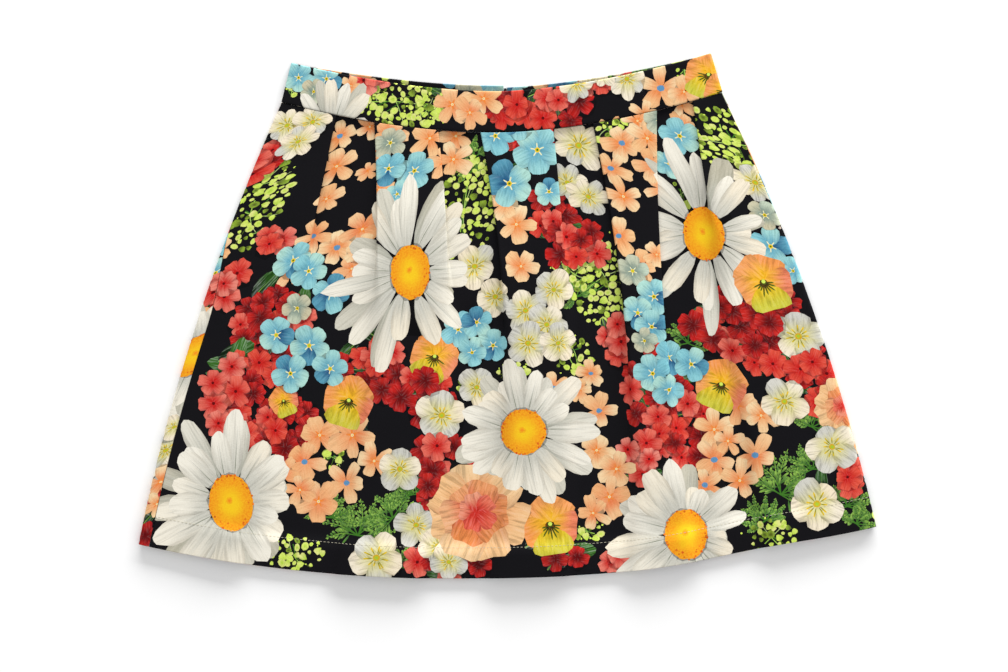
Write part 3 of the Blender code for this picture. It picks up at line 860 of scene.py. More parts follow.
def lime_spray(rng, x, y, size, mood=(1.0, 1.0)):
    """Round lime leaves that hang along thin pale stems. mood stretches it across and up."""
    wide, tall = size * mood[0], size * mood[1]
    shapes = []
    for k in range(4):
        way = rng.uniform(0, TURN)
        start, end = around(x, y, way, -0.5 * wide, -0.5 * tall), around(x, y, way, wide, tall)
        tones = (PALE_LEAF, between(PALE_LEAF, CREAM, 0.4)) if k < 2 else (LEAF, OLIVE)
        shapes.append(stem(rng, start, end, size * rng.uniform(-0.3, 0.3), 0.9 * MM, tones))
    places = []
    for _ in range(int(math.pi * wide * tall / LIME_LEAVES_APART**2)):
        at, gap = roomiest(rng, x, y, wide, tall, 9, places)
        reach = min(rng.uniform(1.6, 4.2) * MM, 0.66 * gap)
        inner = between(YELLOW_GREEN, LIME, rng.uniform(0.25, 1))
        tones = (inner, between(LIME, PALE_PEACH, 0.45 * rng.uniform(0, 1)))
        if rng.uniform(0, 1) < 0.2:
            tones = (OLIVE, between(YELLOW_GREEN, OLIVE, 0.4))
        turn = rng.uniform(0, TURN)
        if rng.uniform(0, 1) < 0.45:
            flat = reach * rng.uniform(0.65, 0.9)
            shapes.append(disc(rng, at, reach, flat, tones, (0.1, 0.2, 0), 8, 0.07, turn))
        else:
            foot = around(*at, turn, -reach)
            shapes.append(petal(rng, foot, turn, reach * 2.1, reach * 1.8, tones, "lime"))
    for _ in range(8):
        away, way = size * rng.uniform(0.6, 1.3), rng.uniform(0, TURN)
        at = around(x, y, way, away * mood[0], away * mood[1])
        shapes.append(dot(rng, at, rng.uniform(0.5, 1.1) * MM, LIME, up=rng.uniform(0.5, 1.1) * MM))
    return shapes


def fern(rng, x, y, size, mood=9):
    """Feathery fronds that spread from one foot. mood is their number."""
    shapes = []
    lean = rng.uniform(0.9, 2.2)
    for k in range(mood):
        way = lean + (k / (mood - 1) - 0.5) * 3.4 + rng.uniform(-0.1, 0.1)
        long = size * rng.uniform(0.7, 1.1)
        bow = rng.uniform(-0.12, 0.12) * long
        shapes.append(stem(rng, (x, y), around(x, y, way, long), bow, 1.1 * MM, (LEAF, PALE_LEAF)))
        for j in range(2, 9):
            share = j / 9
            at = placed(x, y, way, long * share, bow * math.sin(math.pi * share))
            for side in (-1, 1):
                inner = between(DARK_LEAF, LEAF, rng.uniform(0.4, 1))
                tones = (inner, between(LEAF, PALE_LEAF, rng.uniform(0.1, 1)))
                reach = size * 0.27 * (1.15 - share) * rng.uniform(0.8, 1.3)
                turn = way + side * rng.uniform(0.5, 0.9)
                shapes.append(petal(rng, at, turn, reach, 2.0 * MM, tones, "fern"))
    return shapes


def leaf(rng, x, y, size, mood=None):
    """A dark leaf with a paler rib. mood is the way that it points, if it isn't left to chance."""
    way = rng.uniform(0, TURN) if mood is None else mood
    tones = (DARK_LEAF, between(LEAF, DARK_LEAF, rng.uniform(0, 0.6)))
    foot, tip = around(x, y, way, -0.5 * size), around(x, y, way, 0.42 * size)
    blade = petal(rng, foot, way, size, size * rng.uniform(0.34, 0.5), tones, "leaf")
    return [blade, stem(rng, foot, tip, 0.0, 0.7 * MM, (PALE_LEAF, LEAF), 3)]


def red_cluster(rng, x, y, size, mood):
    """A head of red flowers over dark leaves. mood gives its spread both ways, its flowers and their red."""
    wide, tall, count, red = mood
    shapes = []
    for _ in range(max(2, count // 3)):
        at = (x + size * wide * rng.uniform(-1, 1), y + size * tall * rng.uniform(-1, 1))
        shapes += leaf(rng, *at, size * rng.uniform(0.7, 1.1))
    places = []
    for _ in range(count):
        at, _ = roomiest(rng, x, y, size * wide, size * tall, 8, places)
        shapes += geranium(rng, *at, rng.uniform(11.5, 15.5) * MM, red)
    return shapes


FLOWERS = {
    "daisy": daisy, "forget_me_not": forget_me_not, "geranium": geranium, "phlox": phlox, "pansy": pansy,
    "hellebore": hellebore, "bloom": bloom, "lime": lime_spray, "fern": fern, "leaf": leaf,
    "reds": red_cluster,
}

# ---------------------------------------------------------------- the print: where the flowers are
# The layouts are in painting order: a kind of flower, and for each its place (mm from the skirt's centre,
# along the picture's sides), its size (mm) and its mood, where it isn't the kind's usual one.
FRONT_LAYOUT = (
    ("leaf", (
        (-208, 30, 30, 0.9), (-120, -10, 32, 2.6), (-70, -60, 30), (120, -70, 34, 1.9), (160, 0, 30, 0.4),
        (-130, -85, 34, 2.2), (240, -40, 30, 2.0), (10, 130, 26), (50, 40, 26), (-230, -30, 28, 1.2),
        (30, -185, 36, 0.6), (-40, -200, 30, 2.4), (60, -200, 34, 0.2), (270, -140, 28, 1.6), (-12, 20, 24),
    )),
    ("fern", (
        (-128, -185, 34, 11), (-98, -170, 30), (-150, -170, 26), (235, -150, 36, 11), (262, -128, 28),
        (222, -172, 24), (292, -160, 26), (-82, -150, 22, 7), (60, 20, 22), (-30, 128, 16, 7),
        (262, -92, 24, 7), (-28, 140, 20, 7), (155, -20, 24, 7), (-92, -212, 22, 7), (300, -175, 20, 7),
    )),
    ("lime", (
        (-208, 120, 15, (0.8, 1.0)), (-214, 92, 23, (0.75, 1.4)), (-32, 96, 28, (0.85, 1.6)),
        (80, 32, 28, (0.9, 1.3)), (58, 44, 16, (1.3, 0.9)), (192, 152, 28, (1.1, 1.2)),
        (86, 162, 10, (1.0, 1.2)), (114, 171, 14, (1.5, 0.8)), (56, -30, 17, (1.1, 0.9)),
        (-182, -200, 22, (1.1, 0.7)), (227, -186, 21, (1.0, 0.7)), (304, -165, 14, (0.6, 0.8)),
        (-30, -58, 12, (1.0, 0.8)), (-246, -188, 12, (0.6, 1.0)), (5, -45, 12, (1.2, 0.6)),
        (70, -182, 10, (1.2, 0.7)), (-96, 88, 12, (1.0, 0.8)), (150, 108, 10, (0.8, 1.0)),
        (-150, -120, 10, (1.0, 0.8)),
    )),
    ("reds", (
        (-202, -5, 30, (0.9, 1.1, 13, "red")), (-222, -62, 32, (0.8, 1.1, 11, "red")),
        (-240, -66, 20, (0.7, 1.4, 6, "pink")), (-226, -104, 14, (1.2, 0.7, 4, "pink")),
        (-188, -92, 26, (1.0, 0.8, 9, "red")), (-238, 26, 16, (0.6, 1.0, 3, "pink")),
        (-118, -42, 24, (1.2, 0.9, 9, "red")), (-72, -66, 20, (1.0, 1.0, 6, "red")),
        (38, 92, 20, (1.0, 0.8, 6, "red")), (60, 66, 20, (1.2, 0.8, 7, "red")),
        (186, 2, 26, (1.3, 0.9, 10, "red")), (130, -62, 28, (0.9, 1.3, 13, "red")),
        (150, -98, 26, (1.0, 1.1, 11, "red")), (112, -118, 18, (0.7, 1.0, 5, "pink")),
        (214, -28, 20, (1.0, 0.7, 5, "red")), (262, -52, 20, (0.8, 1.2, 6, "red")),
        (92, -20, 14, (0.6, 1.4, 4, "pink")), (-60, -112, 16, (1.0, 0.9, 4, "red")),
        (-66, -142, 14, (0.7, 1.0, 4, "red")), (-50, -208, 22, (1.3, 0.5, 6, "red")),
        (54, -206, 16, (1.2, 0.4, 2, "red")), (-206, 138, 14, (0.6, 1.0, 4, "red")),
        (22, 158, 14, (1.2, 0.6, 3, "red")), (-205, 70, 10, (1.2, 0.6, 3, "pink")),
        (92, -206, 12, (1.4, 0.4, 3, "pink")), (297, -138, 12, (0.6, 0.8, 3, "pink")),
        (240, 12, 12, (0.7, 0.7, 2, "red")), (-16, -120, 12, (1.2, 0.6, 3, "pink")),
    )),
    ("phlox", (
        (-143, 158, 15, "blue"), (-147, 132, 16), (-156, 104, 14), (-117, 146, 13), (-100, 160, 15),
        (-120, 128, 9), (-118, 166, 14), (-110, 112, 12), (-112, 134, 12, "blue"), (-66, 156, 17),
        (-54, 136, 17), (-44, 158, 17), (-46, 138, 17), (-164, 72, 16, "blue"), (-146, 62, 16, "blue"),
        (-124, 78, 17), (-134, 44, 14), (-126, 60, 15), (112, 171, 14), (132, 112, 13), (8, 82, 18),
        (-2, 100, 14), (12, 46, 16), (98, 152, 17, "blue"), (90, 130, 16, "blue"), (100, 106, 17),
        (96, 72, 16, "blue"), (120, 156, 18), (124, 132, 15), (114, 46, 15, "blue"), (128, 56, 12),
        (150, 186, 14), (-161, -99, 19), (-133, -99, 21), (-174, -122, 18, "blue"),
        (-194, -132, 16, "blue"), (-138, -140, 18, "blue"), (-162, -156, 20), (-114, -121, 17),
        (-178, -146, 14), (72, -46, 12, "blue"), (62, -60, 12), (40, -58, 13, "blue"),
        (79, -78, 16, "blue"), (77, -112, 17), (94, -128, 17), (88, -152, 19), (74, -166, 15),
        (178, -94, 18), (198, -74, 17), (178, -120, 18, "blue"), (213, -116, 20, "blue"),
        (170, -142, 17, "blue"), (200, -138, 18), (218, -82, 16), (190, -104, 15), (160, -158, 14),
        (-186, 40, 12), (288, -78, 16), (296, -104, 16),
    )),
    ("bloom", ((288, -74, 25),)),
    ("phlox", ((-250, 60, 12), (150, 168, 12), (182, -208, 12))),
    ("hellebore", (
        (-190, 167, 17, "full"), (-167, 170, 17, "full"), (-180, 153, 15, "full"), (62, 150, 24, "full"),
        (52, 118, 17, "full"), (70, 106, 18, "full"), (214, 118, 19, "full"), (-28, 46, 20), (-10, 20, 19),
        (16, 8, 20), (40, 26, 18), (34, -4, 19), (18, -20, 20), (44, -20, 17), (250, -14, 23),
        (238, -70, 22), (279, -109, 22), (266, -158, 26), (-56, -82, 23), (-26, -58, 19), (-92, -128, 20),
        (-78, -176, 19), (-112, -204, 25), (-60, -194, 16), (-50, -208, 17), (240, 42, 14),
    )),
    ("pansy", ((-62, -32, 23), (-136, -70, 24), (184, -56, 24), (37, -176, 27), (-192, -70, 14))),
    ("bloom", ((-26, -165, 46),)),
    ("forget_me_not", (
        (-100, 152, 16, "beige"), (-80, 128, 19), (-102, 130, 17), (-94, 108, 13), (-10, 158, 20),
        (2, 117, 24), (26, 146, 24), (10, 168, 16), (36, 110, 15), (132, 172, 16, "beige"), (148, 158, 19),
        (140, 134, 15), (-184, 51, 19), (-170, 42, 18), (-152, 22, 20), (-180, 10, 16, "beige"),
        (-198, -13, 19), (-170, -22, 20), (-186, -46, 20), (-152, -42, 18), (-42, -8, 18), (-26, -2, 16),
        (-12, -22, 17), (-30, -28, 15), (108, 42, 16, "beige"), (126, 20, 19), (112, 6, 17), (124, -6, 18),
        (142, -32, 18), (125, -46, 19), (139, -60, 17), (158, -38, 18), (226, 63, 20), (246, 42, 14),
        (222, 90, 16, "beige"), (118, -18, 13, "beige"),
    )),
    ("geranium", (
        (252, -42, 16), (262, -36, 14), (-70, -52, 15), (-60, -108, 15), (216, 6, 17), (226, -2, 15),
    )),
    ("daisy", (
        (-83, 41, 57, (0.28, 1.5, 19, 0.3, 1.45, 0.18)), (170, 74, 46, (0.35, 1.5, 19, -0.42, 1.88, 0.0)),
        (-237, -157, 65, (0.29, 1.3, 20, 0.12, 1.12, 0.12)),
        (14, -96, 59, (0.33, 1.0, 20, 0.0, 1.0, -0.04)), (154, -184, 59, (0.32, 1.14, 20, 0.1, 1.0, 0.15)),
    )),
    ("pansy", ((220, 32, 26),)),
)

BAND_LAYOUT = (
    ("leaf", ((-60, 196, 24), (22, 186, 26, 1.4), (28, 196, 22, 0.4), (162, 205, 18))),
    ("lime", (
        (-95, 184, 26, (1.8, 0.8)), (-118, 196, 12, (1.2, 0.8)), (-70, 180, 14, (1.2, 0.8)),
        (152, 212, 8, (0.8, 0.8)), (-186, 196, 7, (0.6, 0.8)),
    )),
    ("reds", (
        (-117, 209, 10, (1.4, 0.5, 3, "pink")), (3, 184, 16, (1.1, 0.8, 5, "red")),
        (44, 182, 18, (1.1, 0.9, 6, "red")), (76, 206, 8, (1.2, 0.5, 2, "pink")),
    )),
    ("phlox", (
        (-47, 185, 18), (-20, 190, 18), (-32, 178, 15), (132, 199, 20, "blue"), (118, 176, 14),
        (-134, 201, 9), (152, 196, 14), (88, 160, 15),
    )),
    ("hellebore", ((60, 203, 16, "full"), (103, 207, 18, "full"), (82, 212, 14, "full"))),
    ("pansy", ((173, 210, 22), (186, 196, 18))),
    ("forget_me_not", ((-179, 208, 15), (-155, 207, 16), (-166, 196, 13, "beige"))),
    ("daisy", ((-152, 158, 44, (0.28, 1.2, 14, 0.0, 1.2, 0.0)),)),
)
# The strip of the back that is rolled over the left side
STRIP_LAYOUT = (
    ("leaf", ((-307, -168, 24, 1.2), (-262, 10, 22, 1.8))),
    ("reds", ((-303, -188, 12, (0.8, 0.8, 3, "red")), (-250, 30, 10, (0.5, 1.0, 3, "pink")))),
    ("phlox", ((-297, -139, 15), (-255, 6, 12), (-300, -158, 13))),
    ("hellebore", ((-292, -112, 16), (-286, -92, 13))),
    ("daisy", ((-269, -30, 52, (0.3, 1.2, 18, 0.0, 1.2, 0.0)),)),
)

# ---------------------------------------------------------------- cutting a cloth along its print


def paint(points, shapes):
    """For each point of the print: the shape that shows (-1 is the ground), its shade, and the topmost."""
    owner, top = np.full(len(points), -1), np.full(len(points), -1)
    shade = np.ones(len(points))
    order = np.argsort(points[:, 0])
    sorted_x = points[order, 0]
    for number, shape in enumerate(shapes):
        first, last = np.searchsorted(sorted_x, (shape.low[0], shape.high[0]))
        near = order[first:last]
        near = near[(points[near, 1] >= shape.low[1]) & (points[near, 1] <= shape.high[1])]
        inside = near[shape.contains(points[near])]
        top[inside] = number
        if shape.shade is None:
            owner[inside] = number
            shade[inside] = 1.0
        else:
            shade[inside] *= 1 - shape.shade
    return owner, shade, top


SAMPLE_APART = 1.2 * MM


def showing(shapes, rim):
    """The shapes that show somewhere inside the rim, tried at a lattice of points."""
    low, high = rim.min(axis=0), rim.max(axis=0)
    ways = [np.arange(low[k], high[k], SAMPLE_APART) for k in (0, 1)]
    points = np.stack(np.meshgrid(*ways), axis=-1).reshape(-1, 2)
    whole = Shape(rim, (0, 0), (0, 0), (0, 0), None)
    owner, _, top = paint(points[whole.contains(points)], shapes)
    return [shapes[k] for k in sorted((set(owner.tolist()) | set(top.tolist())) - {-1})]


CUT_UNIT = 1000.0  # the cutting works in millimetres
CUT_SAME = 0.004  # points closer than this are one


def triangulate(points, edges, faces):
    """Triangles over all the points that keep the given edges and face outlines, inside the first face."""
    cut = [Vector(p) for p in (np.asarray(points) * CUT_UNIT).tolist()]
    out = delaunay_2d_cdt(cut, edges, faces, 0, CUT_SAME, True)
    inside = [0 in owners for owners in out[5]]
    return np.array(out[0]) / CUT_UNIT, np.array(out[2])[inside], out[3]


def face_edges(triangles):
    """Each triangle's edges as sorted pairs, and the number of their triangle."""
    pairs = np.concatenate([triangles[:, [0, 1]], triangles[:, [1, 2]], triangles[:, [2, 0]]])
    return np.sort(pairs, axis=1), np.tile(np.arange(len(triangles)), 3)


def print_outlines(points, triangles, look):
    """The edges between triangles of different looks, and those around the whole."""
    pairs, owner = face_edges(triangles)
    order = np.lexsort((pairs[:, 1], pairs[:, 0]))
    pairs, owner = pairs[order], owner[order]
    same = np.all(pairs[1:] == pairs[:-1], axis=1)
    with_next, with_last = np.append(same, False), np.insert(same, 0, False)
    alone = ~with_next & ~with_last
    differs = np.zeros(len(pairs), bool)
    differs[:-1] = same & np.any(look[owner[1:]] != look[owner[:-1]], axis=1)
    return pairs[alone | differs], np.unique(pairs[alone])


def straightened(points, edges, corners):
    """The edges without the needless points in the middle of straight lines."""
    near = {}
    for a, b in edges.tolist():
        near.setdefault(a, set()).add(b)
        near.setdefault(b, set()).add(a)
    for middle in list(near):
        if middle in corners or len(near[middle]) != 2:
            continue
        a, b = near[middle]
        before, after = points[middle] - points[a], points[b] - points[middle]
        bend = abs(before[0] * after[1] - before[1] * after[0])
        if b in near[a] or bend > 1e-3 * np.linalg.norm(before) * np.linalg.norm(after):
            continue
        near[a].discard(middle)
        near[b].discard(middle)
        near[a].add(b)
        near[b].add(a)
        del near[middle]
    return [(a, b) for a in near for b in near[a] if a < b]


def rim_of(shape):
    """The grid's outline as (row, column) pairs, anticlockwise in the print."""
    rows, columns = shape
    down = [(i, 0) for i in range(rows)]
    right = [(rows - 1, j) for j in range(1, columns)]
    up = [(i, columns - 1) for i in range(rows - 2, -1, -1)]
    left = [(0, j) for j in range(columns - 2, 0, -1)]
    return down + right + up + left


def guide_lines(grid):
    """Pairs of grid points that cuts have to follow: along the edges, and along the folds."""
    rows, columns = grid.shape
    edge = len(EDGE_STEPS)
    edge_rows = [*range(edge), *range(rows - edge, rows)]
    edge_columns = [*range(edge), *range(columns - edge, columns), *grid.creases]
    pairs = [((i, j), (i, j + 1)) for i in edge_rows for j in range(columns - 1)]
    return pairs + [((i, j), (i + 1, j)) for j in edge_columns for i in range(rows - 1)]


def cut_surface(grid, rim_points, lines):
    """Triangles over a grid, inside a rim, that follow the lines between points.

    Returns the places in the print and the triangles.
    """
    points = list(rim_points)
    number = {}
    rim = set(rim_of(grid.shape))
    for i in range(grid.shape[0]):
        for j in range(grid.shape[1]):
            if (i, j) in rim:
                continue
            number[i, j] = len(points)
            points.append((grid.s[i, j], grid.t[i, j]))
    edges = [(number[a], number[b]) for a, b in guide_lines(grid) if a in number and b in number]
    start = len(points)
    points += list(lines[0])
    edges += [(a + start, b + start) for a, b in lines[1]]
    places, triangles, _ = triangulate(points, edges, [list(range(len(rim_points)))])
    return places, triangles


def rim_loop(triangles):
    """The vertices around a surface, anticlockwise in the print."""
    ways = np.concatenate([triangles[:, [0, 1]], triangles[:, [1, 2]], triangles[:, [2, 0]]])
    present = set(map(tuple, ways.tolist()))
    after = {a: b for a, b in present if (b, a) not in present}
    loop = [next(iter(sorted(after)))]
    while after[loop[-1]] != loop[0]:
        loop.append(after[loop[-1]])
    return loop


def snap_to_rim(grid, row, column):
    """Moves the rim's points exactly onto the grid's outline."""
    rows, columns = grid.shape
    gaps = np.stack([column, columns - 1 - column, row, rows - 1 - row])
    nearest = gaps.argmin(axis=0)
    column = np.where(nearest == 0, 0, np.where(nearest == 1, columns - 1, column))
    row = np.where(nearest == 2, 0, np.where(nearest == 3, rows - 1, row))
    return row.astype(float), column.astype(float)


class Surface:
    """One side of a shell, cut into triangles that each have one look."""

    def __init__(self, grid, shapes):
        rim = [(grid.s[i, j], grid.t[i, j]) for i, j in rim_of(grid.shape)]
        shapes = showing(shapes, np.array(rim))
        points, faces = list(rim), [list(range(len(rim)))]
        for shape in shapes:
            faces.append(list(range(len(points), len(points) + len(shape.outline))))
            points += list(shape.outline)
        places, triangles, sources = triangulate(points, [], faces)
        look = np.stack(paint(places[triangles].mean(axis=1), shapes)[:2], axis=1)
        edges, on_rim = print_outlines(places, triangles, look)
        corners = {k for k, source in enumerate(sources) if source} | set(on_rim.tolist())
        edges = straightened(places, edges, corners)
        loop = rim_loop(triangles)
        used = {k: n for n, k in enumerate(sorted({k for pair in edges for k in pair}))}
        lines = ([places[k] for k in used], [(used[a], used[b]) for a, b in edges])
        self.places, self.triangles = cut_surface(grid, [places[k] for k in loop], lines)
        self.owner, self.shade, _ = paint(self.places[self.triangles].mean(axis=1), shapes)
        self.shapes = shapes


GROUND_SHAPE = Shape([(0, 0), (1, 0), (0, 1)], (0, 0), (0, 0), (0, 0), (GROUND, GROUND))


def look_arrays(places, triangles, owner, shade, shapes):
    """The attributes of every corner of every triangle."""
    everything = [*shapes, GROUND_SHAPE]  # owner -1 is the last one

    def of_owner(name):
        return np.array([getattr(shape, name) for shape in everything], float)[owner]

    beyond = places[triangles] - of_owner("origin")[:, None]
    along, aside = ((beyond * of_owner(name)[:, None]).sum(axis=-1) for name in ("axis_u", "axis_v"))
    motif = np.stack([along, aside, np.repeat(of_owner("seed")[:, None], 3, axis=1)], axis=-1)
    tones = of_owner("tones") * PRINT_DEPTH * shade[:, None, None]
    return {
        "motif": motif.reshape(-1, 3),
        "grain": np.repeat(of_owner("grain"), 3, axis=0),
        "tone_in": np.repeat(tones[:, 0], 3, axis=0),
        "tone_out": np.repeat(tones[:, 1], 3, axis=0),
        "rounded": np.repeat(of_owner("is_round"), 3),
    }


INSIDE_PAINTED_SHADE = 0.55  # painted shade: the share of its tone that the print keeps on the inner side of the waistband, where it lies in shade
FLAT_SHIFT = 0.4  # keeps the flat cut's coordinates above 0


def new_object(name, points, faces, slots, materials):
    """A smooth object; each of its faces has a material by number."""
    mesh = bpy.data.meshes.new(name)
    mesh.from_pydata((points - ORIGIN).tolist(), [], faces)
    for material in materials:
        mesh.materials.append(material)
    mesh.polygons.foreach_set("material_index", slots)
    mesh.shade_smooth()
    obj = bpy.data.objects.new(name, mesh)
    bpy.context.scene.collection.objects.link(obj)
    return obj


def add_looks(mesh, looks, flat):
    """Gives the mesh's corners their attributes and their coordinates in the flat cut."""
    for key, values in looks.items():
        kind, field = "FLOAT_VECTOR", "vector"
        if values.ndim == 1:
            kind, field = "FLOAT", "value"
        elif key.startswith("tone"):
            kind, field = "FLOAT_COLOR", "color"
            values = np.concatenate([values, np.ones((len(values), 1))], axis=1)
        mesh.attributes.new(key, kind, "CORNER").data.foreach_set(field, values.ravel())
    mesh.uv_layers.new(name="flat_cut").data.foreach_set("uv", (flat + FLAT_SHIFT).ravel())


def inner_side(name, grid, surface, loop, printed):
    """The inner side's places, triangles, rim (from the same point as the outer one) and looks."""
    if printed:
        places, triangles, rim = surface.places, surface.triangles, loop
        # painted shade: the printed inner side is darkened as if it lay in shade
        owner, shade = surface.owner, surface.shade * INSIDE_PAINTED_SHADE
    else:
        places, triangles = cut_surface(grid, surface.places[loop], ([], []))
        rim = rim_loop(triangles)
        owner, shade = np.full(len(triangles), -1), np.ones(len(triangles))
    first = surface.places[loop[0]]
    start = rim.index(min(rim, key=lambda k: np.abs(places[k] - first).sum()))
    rim = rim[start:] + rim[:start]
    if len(rim) != len(loop):
        raise RuntimeError(f"{name}: the two sides have rims of {len(loop)} and {len(rim)} points")
    return places, triangles, rim, look_arrays(places, triangles, owner, shade, surface.shapes)


def build_cloth(name, grid, shapes, materials, printed_inside=False):
    """A closed shell of cloth, its outer side cut along the print, as one object."""
    surface = Surface(grid, shapes)
    places, triangles = surface.places, surface.triangles
    row, column = grid.locate(places[:, 0], places[:, 1])
    loop = rim_loop(triangles)
    row[loop], column[loop] = snap_to_rim(grid, row[loop], column[loop])
    positions = grid.sample(grid.outer, row, column)
    normals = grid.sample(grid.outer_normal, row, column)
    positions[loop] = grid.sample(grid.centre, row[loop], column[loop])
    looks = look_arrays(places, triangles, surface.owner, surface.shade, surface.shapes)
    inner_places, inner_triangles, inner_loop, inner_looks = inner_side(
        name, grid, surface, loop, printed_inside
    )
    # The two sides share the points of their rim
    number = np.full(len(inner_places), -1)
    number[inner_loop] = loop
    others = np.flatnonzero(number < 0)
    number[others] = len(places) + np.arange(len(others))
    row, column = grid.locate(inner_places[:, 0], inner_places[:, 1])
    positions = np.concatenate([positions, grid.sample(grid.inner, row, column)[others]])
    normals = np.concatenate([normals, grid.sample(grid.inner_normal, row, column)[others]])
    flat = np.concatenate([places, inner_places[others]])
    faces = np.concatenate([triangles, number[inner_triangles][:, ::-1]])
    slots = np.repeat([0, 0 if printed_inside else 1], [len(triangles), len(inner_triangles)])
    # A triangle between the same three points of the rim on both sides has no cloth in it
    _, which, count = np.unique(np.sort(faces, axis=1), axis=0, return_inverse=True, return_counts=True)
    single = count[which.ravel()] == 1
    flip = np.arange(len(inner_triangles) * 3).reshape(-1, 3)[:, ::-1].ravel()
    corners = np.repeat(single, 3)
    looks = {key: np.concatenate([looks[key], inner_looks[key][flip]])[corners] for key in looks}
    used = np.unique(faces[single])
    faces = np.searchsorted(used, faces[single])
    piece = new_object(name, positions[used], faces.tolist(), slots[single], materials)
    add_looks(piece.data, looks, flat[used][faces.ravel()])
    piece.data.normals_split_custom_set_from_vertices(normals[used].tolist())
    return piece


# ---------------------------------------------------------------- the print: laying out


def in_cloth(x, y):
    """A place given along the picture's sides (mm), in the skirt's own axes."""
    cos, sin = math.cos(SKIRT_TURN), math.sin(SKIRT_TURN)
    return (x * cos + y * sin) * MM, (-x * sin + y * cos) * MM


def flower(kind, seed, s, t, size, *mood):
    """One flower's shapes. Its own place seeds it, so that it stays as it is when others change."""
    rng = np.random.default_rng([seed, round((s + 1) * 1e4), round((t + 1) * 1e4)])
    return FLOWERS[kind](rng, s, t, size, *mood)


def laid_out(layout, grid, seed):
    shapes = []
    for kind, flowers in layout:
        for x, y, size, *mood in flowers:
            shapes += flower(kind, seed, *grid.place(*in_cloth(x, y)), size * MM, *mood)
    return shapes


# The print of the hidden pieces: groups of flowers on an uneven lattice. Each row is a kind, how far apart
# its groups are, how many flowers a group has, how far it spreads, their sizes (mm), and their moods. A kind
# with one look has an empty mood.
SCATTER_COLUMNS = ("kind", "apart", "many", "spread", "smallest", "largest", "moods")
SCATTER = (
    ("leaf", 60, 2, 30, 24, 34, (None,)),
    ("fern", 130, 2, 20, 22, 34, (7, 9)),
    ("lime", 92, 1, 10, 14, 24, ((1.0, 1.0), (0.8, 1.3), (1.3, 0.8))),
    ("reds", 96, 1, 10, 20, 30, ((1.0, 1.0, 9, "red"), (0.9, 1.2, 11, "red"), (1.2, 0.8, 7, "pink"))),
    ("phlox", 84, 4, 24, 14, 19, ("plain", "plain", "blue")),
    ("hellebore", 120, 3, 24, 17, 24, ("plain", "plain", "full")),
    ("pansy", 150, 1, 10, 22, 26, ()),
    ("bloom", 260, 1, 10, 34, 42, ()),
    ("forget_me_not", 110, 4, 24, 15, 20, ("blue", "blue", "beige")),
    ("daisy", 185, 1, 22, 58, 68, ((0.3, 1.2, 18, 0.3, 1.2, 0.1), (0.31, 1.0, 19, 0.0, 1.0, 0.0))),
)


def scattered(grid, seed):
    rng = np.random.default_rng(seed)
    shapes = []
    for row in SCATTER:
        group = dict(zip(SCATTER_COLUMNS, row))
        apart, spread = group["apart"] * MM, group["spread"] * MM
        across = np.arange(grid.s.min() - apart * rng.uniform(0, 1), grid.s.max() + apart, apart)
        down = np.arange(grid.t.min() - apart * rng.uniform(0, 1), grid.t.max() + apart, apart)
        for k, s in enumerate(across):
            for t in down + (k % 2) * apart / 2:
                centre = np.array([s, t]) + rng.uniform(-0.3, 0.3, 2) * apart
                turn = rng.uniform(0, TURN)
                for number in range(group["many"]):
                    way = turn + number * TURN / group["many"]
                    away = spread * rng.uniform(0.6, 1.1) if group["many"] > 1 else 0.0
                    place = centre + away * np.array([math.cos(way), math.sin(way)])
                    size = rng.uniform(group["smallest"], group["largest"]) * MM
                    moods = group["moods"]
                    pick = int(rng.integers(max(1, len(moods))))
                    shapes += flower(group["kind"], seed, *place, size, *moods[pick : pick + 1])
    return shapes


# ---------------------------------------------------------------- materials


